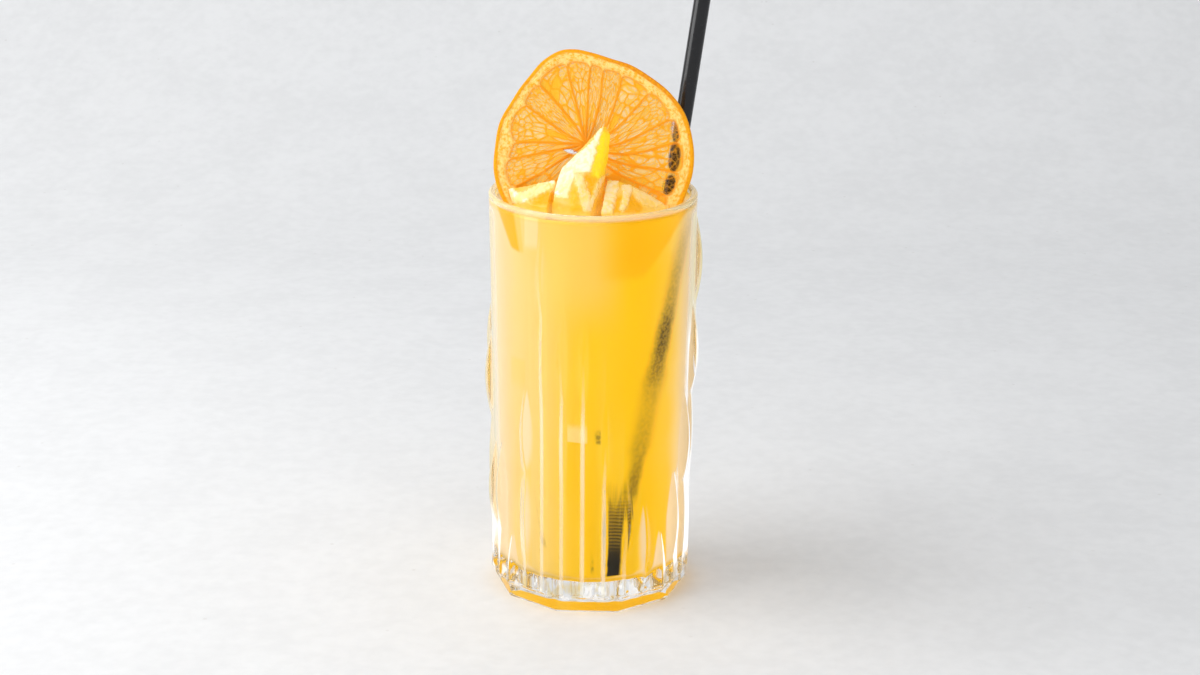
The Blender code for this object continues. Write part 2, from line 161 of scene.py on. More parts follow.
# Its outline, anticlockwise from its right: angle in degrees and radius in m
SLICE_OUTLINE = (
    (3, 0.0379), (17, 0.0369), (31, 0.035), (46, 0.0331), (61, 0.0323), (74, 0.0318),
    (87, 0.0328), (97, 0.0342), (106, 0.0349), (116, 0.0339), (128, 0.0319), (139, 0.031),
    (151, 0.0307), (167, 0.0316), (183, 0.0322), (199, 0.034), (208, 0.035), (222, 0.0364),
    (245, 0.041), (275, 0.044), (305, 0.043), (332, 0.0398), (345, 0.0394),
)
SLICE_RIND_THICKNESS = 0.0034
SLICE_CURL = 0.004
SLICE_CURL_SPAN = 0.036
# Each membrane's angle at the rind, and how far it bends on its way to the core
MEMBRANES = (
    (2, -38), (18, -35), (40, -28), (63, -40), (77, -16), (88, 0), (104, 0), (129, -14), (147, 9),
    (178, 0), (192, 0), (213, 0), (240, 0), (270, 0), (300, 0), (328, -25), (344, -28),
)
MEMBRANE_WANDER = 1.6
FLESH_END = 0.862
RIND_START = 0.957
SHOWN_COLUMNS_PER_DEGREE = 2.0
HIDDEN_COLUMNS_PER_DEGREE = 0.7
HIDDEN_FROM, HIDDEN_TO = 240, 328
# At the slice's edge a segment has as many juice cells side by side as cells of this width fit into
# its arc at this radius, both in mm. They grow fewer toward the core.
CELL_WIDTH, CELL_ARC_RADIUS = 1.7, 32.0
# How far the cells' pattern shifts from one segment to the next, in cells: across, and out from the core
CELL_SHIFT, CELL_ROW_SHIFT = 7.3, 3.7
TEAR_START, TEAR_END, TEAR_WIDTH = (-7.9, -2.0), (-2.8, -3.2), 0.75
# Thin spots: middle and half size in mm in the slice's plane, turn in degrees, how thin
SLICE_THIN_SPOTS = (
    ((31.4, -4.4), (2.2, 5.6), -4.0, 1.0), ((31.6, 4.6), (1.4, 4.5), 6.0, 0.7),
    ((29.6, -14.0), (2.1, 3.8), -22.0, 1.0),
)

# Ice: the corners of each broken block in mm
ICE_CORNERS = {
    "ice_peak": (
        (-10.5, -29.5, 132), (-1.2, -31.2, 132), (1, -23.5, 132), (-10.5, -23.5, 132),
        (-14.6, -26.5, 146), (-14.2, -26.8, 153), (-7, -30.3, 152), (-2.4, -31.2, 150.8),
        (-0.6, -31.2, 149), (1.6, -24, 157.8), (-12, -18.2, 159.4), (-10.8, -15.8, 161.8),
        (-5.2, -12.5, 166.8), (-2.4, -11.3, 169), (0.4, -9.5, 171.2), (1.9, -8.2, 173.8),
        (3.3, -7.8, 175.5), (4.8, -7.8, 175.3), (6.2, -8.6, 172.6), (5.5, -12, 167.4),
        (4.4, -15, 161.7), (3.6, -16, 156), (-11, -15.5, 150),
    ),
    "ice_right": (
        (4, -30, 133), (18, -25.5, 133), (20.5, -21.5, 134), (5.6, -22, 133),
        (3, -31.6, 148), (2.9, -31.2, 150.2), (6.6, -31.1, 150.1), (11, -30.2, 150.4),
        (13.1, -29.6, 150.6), (16.5, -28.4, 149.8), (22.5, -23.8, 149.2), (26.2, -18, 149),
        (24.6, -19, 150.3), (16.6, -17.8, 154.6), (13.5, -16.5, 156.2), (9, -16.3, 157.6),
        (5, -16.5, 158), (5, -16, 148),
    ),
    "ice_left": (
        (-22.5, -22.4, 135), (-16.2, -26.5, 134), (-15, -22.8, 134), (-27.2, -17.5, 145),
        (-15.8, -29.4, 148), (-15.8, -29, 151.2), (-20, -26.2, 150.8), (-24.6, -21.5, 151.2),
        (-27.6, -18, 151.6), (-30, -14, 153.8), (-28, -16, 149), (-20.5, -20, 154),
        (-13.3, -17.6, 158), (-13.3, -16.8, 150),
    ),
}
ICE_GRAIN = 0.00035
ICE_RELIEF = 0.3
# What shows on the ice's broken faces: frost and milky ice, with painted light from the tea and the
# slice seen through it. An outline is X and Z + Y / 4 in mm, so that it runs straight on through the
# slanting faces.
ICE_ZONES = (
    ("frost", 1, ((3.8, 174.6), (1.4, 171.4), (-0.6, 167.1), (-6.1, 162.8), (-15.8, 154.5),
                  (-14.8, 150.6), (-12.3, 147.3), (-8.5, 147), (-6.4, 156), (-1, 156.6), (1, 165))),
    ("golden", 1, ((2.6, 171.4), (6.2, 170.9), (7.2, 167.9), (4.6, 157.9), (2.8, 153.9), (-1, 155.4),
                   (1, 165))),
    ("deep", 1, ((-3.6, 155.3), (0.5, 156.8), (1.9, 154.3), (-0.8, 147.4))),
    ("cream", 0.8, ((-7.1, 156.4), (-3.6, 155.7), (-0.8, 147.4), (-0.1, 142.4), (-3.2, 142),
                    (-5, 148.1))),
    ("cream", 0.9, ((4.4, 155.4), (2.3, 154.3), (-1.1, 145.3), (-0.4, 143.5))),
    ("cream", 1, ((4.7, 154), (8.9, 153.6), (8.6, 150.1), (6.6, 141.4), (2.4, 141.3), (3.4, 146.4))),
    ("deep", 1, ((7.2, 147.5), (10.4, 148.3), (9.7, 142.1), (6.6, 142.1))),
    ("cream", 0.9, ((10, 152.2), (13.5, 151.9), (12.8, 146.5), (10.4, 142.1), (9.4, 144.3),
                    (10.4, 148.3))),
    ("deep", 1, ((13.1, 150.1), (14.6, 148), (17.4, 144.7), (16.7, 141.8), (10.8, 141.8),
                 (12.5, 146.5))),
    ("cream", 0.6, ((13.5, 151.5), (18.4, 149.8), (25.1, 145.5), (22, 143.7), (17.4, 144.7),
                    (14.6, 148))),
    ("frost", 0.8, ((-33.2, 155), (-30, 153.4), (-27.3, 149.4), (-24.5, 149), (-15.8, 154.2),
                    (-14.6, 150.5), (-20, 147.4), (-25.2, 144.8), (-28.7, 144.8), (-31.9, 148.9))),
    ("deep", 0.8, ((-22.8, 147.2), (-20, 149.4), (-14.1, 149.8), (-13.7, 145.5), (-21.7, 144.7))),
)

# Floor, light and camera
FLOOR_FRONT, FLOOR_HALF_WIDTH, FLOOR_GAP = -2.4, 2.6, 0.0003
BEND_START, BEND_RADIUS, BACKDROP_TOP = 0.42, 0.5, 2.2
SKY_COLOUR, SKY_STRENGTH = (0.96, 0.98, 1.0), 0.66
GLASS_MIDDLE = (0.0, 0.0, 0.08)
PHOTO_WIDTH, FOCAL_PIXELS, SENSOR_WIDTH = 1200.0, 2255.0, 36.0
CAMERA_PLACE = (0.0029, -0.783, 0.3529)
CAMERA_DOWN, CAMERA_ROLL = 18.28, 0.53


class Wire:
    """What comes out of a node. Plain arithmetic with it adds Math nodes."""

    def __init__(self, wiring, socket):
        self.wiring, self.socket = wiring, socket

    def __add__(self, other):
        return self.wiring.sum("ADD", self, other)

    def __sub__(self, other):
        return self.wiring.sum("SUBTRACT", self, other)

    def __rsub__(self, other):
        return self.wiring.sum("SUBTRACT", other, self)

    def __mul__(self, other):
        return self.wiring.sum("MULTIPLY", self, other)

    def __truediv__(self, other):
        return self.wiring.sum("DIVIDE", self, other)

    def __pow__(self, other):
        return self.wiring.sum("POWER", self, other)

    def __abs__(self):
        return self.wiring.sum("ABSOLUTE", self)


class Wiring:
    """Puts nodes in one tree and wires what goes into them."""

    def __init__(self, tree):
        self.tree = tree

    def add(self, kind, feeds=None, **settings):
        """A node, with a value or a wire for each socket that feeds names."""
        node = self.tree.nodes.new(kind)
        for name, value in settings.items():
            setattr(node, name, value)
        for socket, value in (feeds or {}).items():
            self.feed(node.inputs[socket], value)
        return node

    def out(self, kind, output=0, feeds=None, **settings):
        """One output of a new node."""
        return Wire(self, self.add(kind, feeds, **settings).outputs[output])

    def feed(self, socket, value):
        if isinstance(value, Wire):
            self.tree.links.new(value.socket, socket)
        elif socket.type == "RGBA":
            socket.default_value = (*value, 1.0)
        else:
            socket.default_value = value

    def split(self, vector):
        """Its X, Y and Z."""
        node = self.add("ShaderNodeSeparateXYZ", {0: vector})
        return [Wire(self, socket) for socket in node.outputs]

    def sum(self, operation, *values):
        """The result of one Math node."""
        return self.out("ShaderNodeMath", feeds=dict(enumerate(values)), operation=operation)

    def vector(self, operation, *values, output=0):
        """The result of one Vector Math node."""
        return self.out("ShaderNodeVectorMath", output, dict(enumerate(values)), operation=operation)

    def most(self, value, *others):
        for other in others:
            value = self.sum("MAXIMUM", value, other)
        return value

    def least(self, value, other):
        return self.sum("MINIMUM", value, other)

    def ease(self, value, start, end, low=0.0, high=1.0):
        """Goes smoothly from low to high while value goes from start to end."""
        feeds = {"Value": value, "From Min": start, "From Max": end, "To Min": low, "To Max": high}
        return self.out("ShaderNodeMapRange", "Result", feeds, interpolation_type="SMOOTHSTEP")

    def blend(self, share, first, second):
        """A colour between two others."""
        return self.out("ShaderNodeMix", 2, {0: share, 6: first, 7: second}, data_type="RGBA")

    def paint(self, tint, *coats):
        """Lays coats over a colour, each as how much it covers and its own colour."""
        for share, coat in coats:
            tint = self.blend(share, tint, coat)
        return tint

    def ramp(self, value, low, high, stops):
        """A colour that follows value along stops of (value, colour)."""
        node = self.add("ShaderNodeValToRGB", {"Fac": (value - low) / (high - low)})
        steps = node.color_ramp.elements
        while len(steps) < len(stops):
            steps.new(1.0)
        for step, (at, tint) in zip(steps, stops):
            step.position = (at - low) / (high - low)
            step.color = (*tint, 1.0)
        return Wire(self, node.outputs["Color"])

    def level(self, value, low, high, stops):
        """A number that follows value along stops of (value, number)."""
        return self.ramp(value, low, high, [(at, (number, number, number)) for at, number in stops])


class Finish(Wiring):
    """A material's wiring, from the places on its piece to its shader."""

    def __init__(self, name):
        self.material = bpy.data.materials.new(name)
        self.material.use_nodes = True
        super().__init__(self.material.node_tree)
        self.shader = self.tree.nodes["Principled BSDF"]
        self.place = self.out("ShaderNodeTexCoord", "Object")

    def marks(self, *names):
        """What store kept under these names."""
        return [self.out("ShaderNodeAttribute", "Fac", attribute_name=name) for name in names]

    def grain(self, scale, detail=3.0, roughness=0.5, over=None):
        """Even noise from 0 to 1 over the places, or over other coordinates."""
        feeds = {"Vector": over or self.place, "Scale": scale, "Detail": detail, "Roughness": roughness}
        return self.out("ShaderNodeTexNoise", feeds=feeds)

    def facing(self):
        """0 where the surface faces the eye, 1 where it is seen from its side."""
        return self.out("ShaderNodeLayerWeight", "Facing", {"Blend": 0.5})

    def relief(self, height, distance, strength):
        return self.out("ShaderNodeBump", feeds={"Height": height, "Distance": distance,
                                                 "Strength": strength})

    def glow(self, tint, strength):
        """Gives the surface some light of its own, as if light came through it."""
        light = self.out("ShaderNodeVectorMath", feeds={0: tint, "Scale": strength}, operation="SCALE")
        self.shade({"Emission Color": light, "Emission Strength": 1.0})

    def shade(self, feeds):
        """Feeds sockets of the shader, by their names."""
        for socket, value in feeds.items():
            self.feed(self.shader.inputs[socket], value)
        return self.material


def ease_between(values, start, end):
    share = np.clip((values - start) / (end - start), 0.0, 1.0)
    return share * share * (3.0 - 2.0 * share)


def cover(mesh, material):
    mesh.materials.clear()
    mesh.materials.append(material)
    mesh.shade_smooth()


def link(name, mesh, material):
    item = bpy.data.objects.new(name, mesh)
    bpy.context.scene.collection.objects.link(item)
    cover(mesh, material)
    return item


def tidy_mesh(mesh, weld=1e-6):
    """Welds doubles, drops faces that closed up and turns the rest outwards."""
    shape = bmesh.new()
    shape.from_mesh(mesh)
    bmesh.ops.remove_doubles(shape, verts=shape.verts, dist=weld)
    bmesh.ops.dissolve_degenerate(shape, dist=weld, edges=shape.edges)
    bmesh.ops.recalc_face_normals(shape, faces=shape.faces)
    shape.to_mesh(mesh)
    shape.free()


def plain_mesh_of(item):
    """The item's finished form as a plain mesh, with its modifiers gone."""
    bpy.context.view_layer.update()
    finished = item.evaluated_get(bpy.context.evaluated_depsgraph_get())
    mesh = bpy.data.meshes.new_from_object(finished)
    item.modifiers.clear()
    item.data = mesh
    return mesh


def places_of(mesh):
    """The X, Y and Z of all places of a mesh."""
    places = np.empty(len(mesh.vertices) * 3)
    mesh.vertices.foreach_get("co", places)
    return places.reshape(-1, 3).T


def store(mesh, marks):
    """Keeps a number of each name for each place of a mesh."""
    for name, values in marks.items():
        layer = mesh.attributes.new(name, "FLOAT", "POINT")
        layer.data.foreach_set("value", values.reshape(-1).astype(np.float32))


def round_mesh(name, points, rows, columns, closed=False):
    """A mesh from rows of points that each go once round. If closed, its last row joins its first."""
    row, column = np.meshgrid(np.arange(rows if closed else rows - 1), np.arange(columns), indexing="ij")
    below, above, right = row * columns, (row + 1) % rows * columns, (column + 1) % columns
    corners = np.stack([below + column, below + right, above + right, above + column], axis=-1)
    mesh = bpy.data.meshes.new(name)
    mesh.from_pydata(points, [], corners.reshape(-1, 4).tolist())
    return mesh


def dress(piece, slot, *nodes):
    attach(piece, "root")
    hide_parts(*nodes)


def inner_radius(z):
    rise = (z - FLOOR_HEIGHT) / (GLASS_HEIGHT - FLOOR_HEIGHT)
    return INNER_FOOT_RADIUS + (INNER_RIM_RADIUS - INNER_FOOT_RADIUS) * rise


def plain_wall_radius(z):
    if z >= WAIST_HEIGHT:
        rise = (z - WAIST_HEIGHT) / (GLASS_HEIGHT - WAIST_HEIGHT)
        return WAIST_RADIUS + (RIM_RADIUS - WAIST_RADIUS) * rise
    return WAIST_RADIUS


def floor_corner(reach):
    """The rounded corner between the glass's floor and its inner wall, reach out of its middle."""
    middle = inner_radius(FLOOR_HEIGHT) - FLOOR_FILLET
    turns = [math.pi / 2 * i / 8 for i in range(9)]
    return [(middle + reach * math.sin(t), FLOOR_HEIGHT + FLOOR_FILLET - reach * math.cos(t))
            for t in turns]


def glass_section():
    """The wall's section from the underside's middle round to the floor's middle.

    Each point is radius, height, and how much of the ribs and of the foot's sides it takes."""
    section = [(WAIST_RADIUS * share, 0.0, share) for share in (0.0, 0.25, 0.5, 0.75, 0.9)]
    section.append((WAIST_RADIUS - FOOT_CHAMFER, 0.0, 1.0))
    section.append((WAIST_RADIUS - 0.2 * FOOT_CHAMFER, 0.3 * FOOT_CHAMFER, 1.0))
    body_top = GLASS_HEIGHT - RIM_ROUNDING
    for i in range(GLASS_ROWS + 1):
        z = FOOT_CHAMFER + (body_top - FOOT_CHAMFER) * i / GLASS_ROWS
        section.append((plain_wall_radius(z), z, 1.0))
    rim_middle = (RIM_RADIUS + INNER_RIM_RADIUS) / 2
    for i in range(1, 12):
        turn = math.pi * i / 12
        radius, z = rim_middle + RIM_ROUNDING * math.cos(turn), body_top + RIM_ROUNDING * math.sin(turn)
        section.append((radius, z, 0.0))
    for i in range(9):
        z = body_top + (FLOOR_HEIGHT + FLOOR_FILLET - body_top) * i / 8
        section.append((inner_radius(z), z, 0.0))
    corner = floor_corner(FLOOR_FILLET)
    section += [(radius, z, 0.0) for radius, z in reversed(corner[:-1])]
    section += [(corner[0][0] * share, FLOOR_HEIGHT, 0.0) for share in (0.7, 0.4, 0.0)]
    return section


def ribbed_wall_rule():
    """Wraps a flat grid into the glass: the section's points up the rows, the ribs round the columns.

    The mesh that it works on holds the ribs' tops first, then the section's points."""
    tree = bpy.data.node_groups.new("ribbed glass", "GeometryNodeTree")
    kinds = {"Numbers": "Geometry", "Section Points": "Int", "Finish": "Material"}
    for name, value in RIBBED_WALL_INPUTS.items():
        kinds[name] = "Int" if isinstance(value, int) else "Float"
    for name, kind in kinds.items():
        tree.interface.new_socket(name=name, in_out="INPUT", socket_type="NodeSocket" + kind)
    tree.interface.new_socket(name="Glass", in_out="OUTPUT", socket_type="NodeSocketGeometry")
    w = Wiring(tree)
    given = {socket.name: Wire(w, socket) for socket in w.add("NodeGroupInput").outputs}

    grid = w.out("GeometryNodeMeshGrid", "Mesh", {
        "Size X": 1.0, "Size Y": 1.0, "Vertices X": given["Columns"] + 1.0,
        "Vertices Y": given["Section Points"]})
    position = w.out("GeometryNodeInputPosition")
    flat_x, flat_y, _ = w.split(position)
    round_share = flat_x + 0.5
    row = w.sum("ROUND", (flat_y + 0.5) * (given["Section Points"] - 1.0))
    angle = w.sum("MULTIPLY_ADD", round_share, math.tau, given["First Rib"])

    def numbers_at(index):
        node = w.add("GeometryNodeSampleIndex", {"Geometry": given["Numbers"], "Index": index},
                     data_type="FLOAT_VECTOR", domain="POINT")
        w.feed(next(s for s in node.inputs if s.name == "Value" and s.enabled), position)
        return w.split(Wire(w, next(s for s in node.outputs if s.enabled)))

    radius, relief_share, height = numbers_at(row + given["Rib Count"])

    steps = round_share * given["Rib Count"]
    nearest = w.sum("ROUND", steps)
    off_crest = steps - nearest
    across = abs(off_crest) * 2.0
    rib_top = numbers_at(w.sum("MODULO", nearest, given["Rib Count"]))[2]
    lengths = w.most(rib_top - height, 1e-7) / given["Bulge Length"]
    width = w.least((lengths * 2.0) ** 0.7, 1.0)
    crest = w.most(1.0 - across / width, 0.0) ** given["Ridge Sharpness"]
    wave = w.sum("SINE", lengths * math.pi)
    first_wave = w.most(wave, 0.0) * w.sum("LESS_THAN", lengths, 1.0)
    second_wave = w.most(wave * -1.0, 0.0) * w.sum("LESS_THAN", lengths, 2.0)
    stand = given["Ridge Height"] * w.ease(lengths, 0.0, 1.0)
    stand = w.sum("MULTIPLY_ADD", given["Bulge Height"], first_wave, stand)
    stand = w.sum("MULTIPLY_ADD", given["Lower Bulge Height"], second_wave, stand)
    relief = stand * crest

    half_side = given["Foot Side"] * 0.5
    turned = angle - given["Foot Turn"] + half_side
    off_middle = w.sum("FLOORED_MODULO", turned, given["Foot Side"]) - half_side
    foot = given["Foot Apothem"] / w.sum("COSINE", off_middle) - given["Waist Radius"]
    half_blend = given["Foot Blend"] * 0.5
    above_foot = w.ease(height, given["Foot Height"] - half_blend, given["Foot Height"] + half_blend)
    shift = foot * (1.0 - above_foot) + relief * above_foot
    reach = w.sum("MULTIPLY_ADD", shift, relief_share, radius)
    spot = w.out("ShaderNodeCombineXYZ", feeds={
        "X": reach * w.sum("SINE", angle), "Y": reach * (w.sum("COSINE", angle) * -1.0), "Z": height})

    # A painted pale highlight runs down each rib, hard on its right side and soft on its left. It grows
    # clearer the longer the rib runs.
    narrow = w.least(lengths ** 0.6, 1.0)
    left_part = w.ease(off_crest / narrow, -0.3, -0.1)
    right_part = w.ease(off_crest, 0.0, 0.08, 1.0, 0.0)
    clearness = w.ease(lengths, 0.0, 0.12) * w.ease(lengths, 0.0, 1.7, 0.35, 1.0)
    on_wall = above_foot * relief_share
    marks = {"rib_highlight": left_part * right_part * (clearness * on_wall),
             "bulge": relief / given["Bulge Height"] * on_wall}

    glass = grid
    for name, value in marks.items():
        glass = w.out("GeometryNodeStoreNamedAttribute", feeds={
            "Geometry": glass, "Name": name, "Value": value}, data_type="FLOAT", domain="POINT")
    for kind, feeds in (("SetPosition", {"Position": spot}), ("MergeByDistance", {"Distance": 1e-6}),
                        ("SetMaterial", {"Material": given["Finish"]})):
        glass = w.out("GeometryNode" + kind, feeds={"Geometry": glass, **feeds})
    w.add("NodeGroupOutput", {"Glass": glass})
    return tree


def make_glass(material):
    section = glass_section()
    numbers = [(0.0, 0.0, top) for top in RIB_TOPS]
    numbers += [(radius, share, z) for radius, z, share in section]
    mesh = bpy.data.meshes.new("glass numbers")
    mesh.from_pydata(numbers, [], [])
    item = link("clear_ribbed_glass", mesh, material)
    rule = ribbed_wall_rule()
    modifier = item.modifiers.new("ribbed wall", "NODES")
    modifier.node_group = rule
    values = {**RIBBED_WALL_INPUTS, "Section Points": len(section), "Finish": material}
    for socket in rule.interface.items_tree:
        if socket.name in values:
            modifier[socket.identifier] = values[socket.name]
    mesh = plain_mesh_of(item)
    tidy_mesh(mesh)
    mesh.shade_smooth()
    return item


def make_drink(material):
    """The tea: it reaches just into the wall, and climbs it a little at the edge."""
    corner = floor_corner(FLOOR_FILLET + DRINK_REACH)
    section = [(corner[0][0] * share, corner[0][1]) for share in (0.0, 0.3, 0.6, 0.85)] + corner
    wall_foot, wall_top = FLOOR_HEIGHT + FLOOR_FILLET, DRINK_LEVEL + MENISCUS
    for i in range(1, DRINK_ROWS + 1):
        z = wall_foot + (wall_top - wall_foot) * i / DRINK_ROWS
        section.append((inner_radius(z) + DRINK_REACH, z))
    for inset in (0.0004, 0.0008, 0.0013, 0.0019, 0.0027, 0.0037):
        climb = MENISCUS * math.exp(-inset / MENISCUS_REACH)
        section.append((inner_radius(DRINK_LEVEL) - inset, DRINK_LEVEL + climb))
    outer = section[-1][0]
    section += [(outer * (1 - i / 14), DRINK_LEVEL) for i in range(1, 15)]
    angles = np.linspace(0.0, math.tau, DRINK_COLUMNS, endpoint=False)
    points = [(r * math.sin(a), -r * math.cos(a), z) for r, z in section for a in angles]
    mesh = round_mesh("tea", points, len(section), DRINK_COLUMNS)
    tidy_mesh(mesh)
    # Its surface swells a little, but not at its edge.
    for vert in mesh.vertices:
        if abs(vert.co.z - DRINK_LEVEL) < 0.0003 and vert.co.xy.length < 0.032:
            vert.co.z += 0.00025 * noise.noise(vert.co * 140) - 0.0001

    # The tea looks a little different behind each strip of wall between two ribs: painted light for how
    # that strip bends the light.
    x, y, z = places_of(mesh)
    steps = (np.arctan2(x, -y) - FIRST_RIB) / (math.tau / RIB_COUNT) + STRIP_OFFSET
    strip = np.floor(steps).astype(int) % RIB_COUNT
    tops = np.array(RIB_TOPS)
    top = np.maximum(tops[strip], tops[(strip + 1) % RIB_COUNT])
    behind_rib = ease_between(top - z, 0.0, 0.03) * ease_between(np.hypot(x, y), 0.028, 0.03)
    store(mesh, {"strip": np.array(STRIP_TONES)[strip] * behind_rib,
                 "fan": (steps % 1.0) ** 2 * behind_rib})
    return link("cloudy_tea", mesh, material)


def slice_radius(degrees):
    """The slice's outline as a smooth closed curve through its few named points."""
    count = len(SLICE_OUTLINE)
    degrees %= 360
    after = next((i for i, point in enumerate(SLICE_OUTLINE) if point[0] > degrees), 0)
    a0, r0 = SLICE_OUTLINE[(after - 2) % count]
    a1, r1 = SLICE_OUTLINE[(after - 1) % count]
    a2, r2 = SLICE_OUTLINE[after]
    a3, r3 = SLICE_OUTLINE[(after + 1) % count]
    span = (a2 - a1) % 360
    t = ((degrees - a1) % 360) / span
    slope1 = (r2 - r0) / ((a2 - a0) % 360) * span
    slope2 = (r3 - r1) / ((a3 - a1) % 360) * span
    return ((2 * t**3 - 3 * t**2 + 1) * r1 + (t**3 - 2 * t**2 + t) * slope1
            + (3 * t**2 - 2 * t**3) * r2 + (t**3 - t**2) * slope2)


def cell_borders(u, v, seed):
    """Irregular cells over two coordinates: how far each place is from its cell's border, and a
    number of its own for each cell."""
    repeat = 64
    table = np.random.default_rng(seed).random((repeat, repeat, 3))
    cell_u, cell_v = np.floor(u).astype(int), np.floor(v).astype(int)
    nearest = np.full(u.shape, 9.0)
    second = np.full(u.shape, 9.0)
    tone = np.zeros(u.shape)
    for du in (-1, 0, 1):
        for dv in (-1, 0, 1):
            pick = table[(cell_u + du) % repeat, (cell_v + dv) % repeat]
            away = np.hypot(cell_u + du + pick[..., 0] - u, cell_v + dv + pick[..., 1] - v)
            closer = away < nearest
            second = np.where(closer, nearest, np.minimum(second, away))
            tone = np.where(closer, pick[..., 2], tone)
            nearest = np.where(closer, away, nearest)
    return second - nearest, tone


def wander(u, v, seed):
    """Soft seamless unevenness from -1 to 1, made of a few waves."""
    rng = np.random.default_rng(seed)
    total = np.zeros(u.shape)
    for _ in range(6):
        angle, phase, stretch = rng.random(3) * (math.tau, math.tau, 1.0)
        total += np.sin((u * math.cos(angle) + v * math.sin(angle)) * (1.0 + 1.5 * stretch) + phase)
    return total / 3.5


def slice_rows():
    """From the front's core over the rind to the back's core: reach and side of the middle."""
    front = [(reach, 1.0) for reach in np.linspace(0.0, 0.9, 94)]
    front += [(reach, 1.0) for reach in np.linspace(0.908, 0.982, 10)]
    edge = [(0.982 + 0.018 * math.sin(t), math.cos(t)) for t in np.linspace(0.0, math.pi, 11)[1:-1]]
    back = [(reach, -1.0) for reach in np.linspace(0.982, 0.86, 10)]
    back += [(reach, -1.0) for reach in np.linspace(0.83, 0.0, 34)]
    return front + edge + back


def slice_columns():
    """For each column its segment, and its share of the way across it: finer where the slice shows."""
    columns = []
    for i, (start, _) in enumerate(MEMBRANES):
        width = (MEMBRANES[(i + 1) % len(MEMBRANES)][0] - start) % 360
        hidden = HIDDEN_FROM <= start < HIDDEN_TO
        count = round(width * (HIDDEN_COLUMNS_PER_DEGREE if hidden else SHOWN_COLUMNS_PER_DEGREE))
        columns += [(i, k / count) for k in range(count)]
    return columns


def membrane_angles(index, reach):
    """A membrane's angle in degrees on its way out: it bends near the core and wanders a little."""
    start, bend = MEMBRANES[index % len(MEMBRANES)]
    drift = wander(reach * 4.0, np.full(reach.shape, (index % len(MEMBRANES)) * 3.1), SEED)
    turns = 360.0 * (index // len(MEMBRANES))
    return start + turns + bend * (1.0 - reach) ** 2 + MEMBRANE_WANDER * drift * reach


def tear_mark(x, y):
    """1 in the slit beside the core, 0 outside it, for places on the slice in mm."""
    way = np.array(TEAR_END) - np.array(TEAR_START)
    off_x, off_y = x - TEAR_START[0], y - TEAR_START[1]
    along = np.clip((off_x * way[0] + off_y * way[1]) / (way @ way), 0.0, 1.0)
    off = np.hypot(off_x - along * way[0], off_y - along * way[1])
    half = TEAR_WIDTH * np.sin(math.pi * np.clip(along, 0.06, 0.94)) + 0.05
    return 1.0 - ease_between(off, half - 0.25, half + 0.15)


def thin_mark(x, y):
    """How thin the flesh is, for places in mm: what is behind it shows through its thin spots."""
    thin = np.zeros(x.shape)
    for (middle_x, middle_y), (half_x, half_y), turned, strength in SLICE_THIN_SPOTS:
        turn_sin, turn_cos = math.sin(math.radians(turned)), math.cos(math.radians(turned))
        off_x, off_y = x - middle_x, y - middle_y
        spot_x, spot_y = off_x * turn_cos + off_y * turn_sin, off_y * turn_cos - off_x * turn_sin
        spot = 1.0 - ease_between(np.hypot(spot_x / half_x, spot_y / half_y), 0.75, 1.15)
        thin = np.maximum(thin, strength * spot)
    return thin


def around(degree, middle, spread):
    """1 at one angle of the slice, less to both sides of it."""
    return np.exp(-((degree % 360.0 - middle) / spread) ** 2)


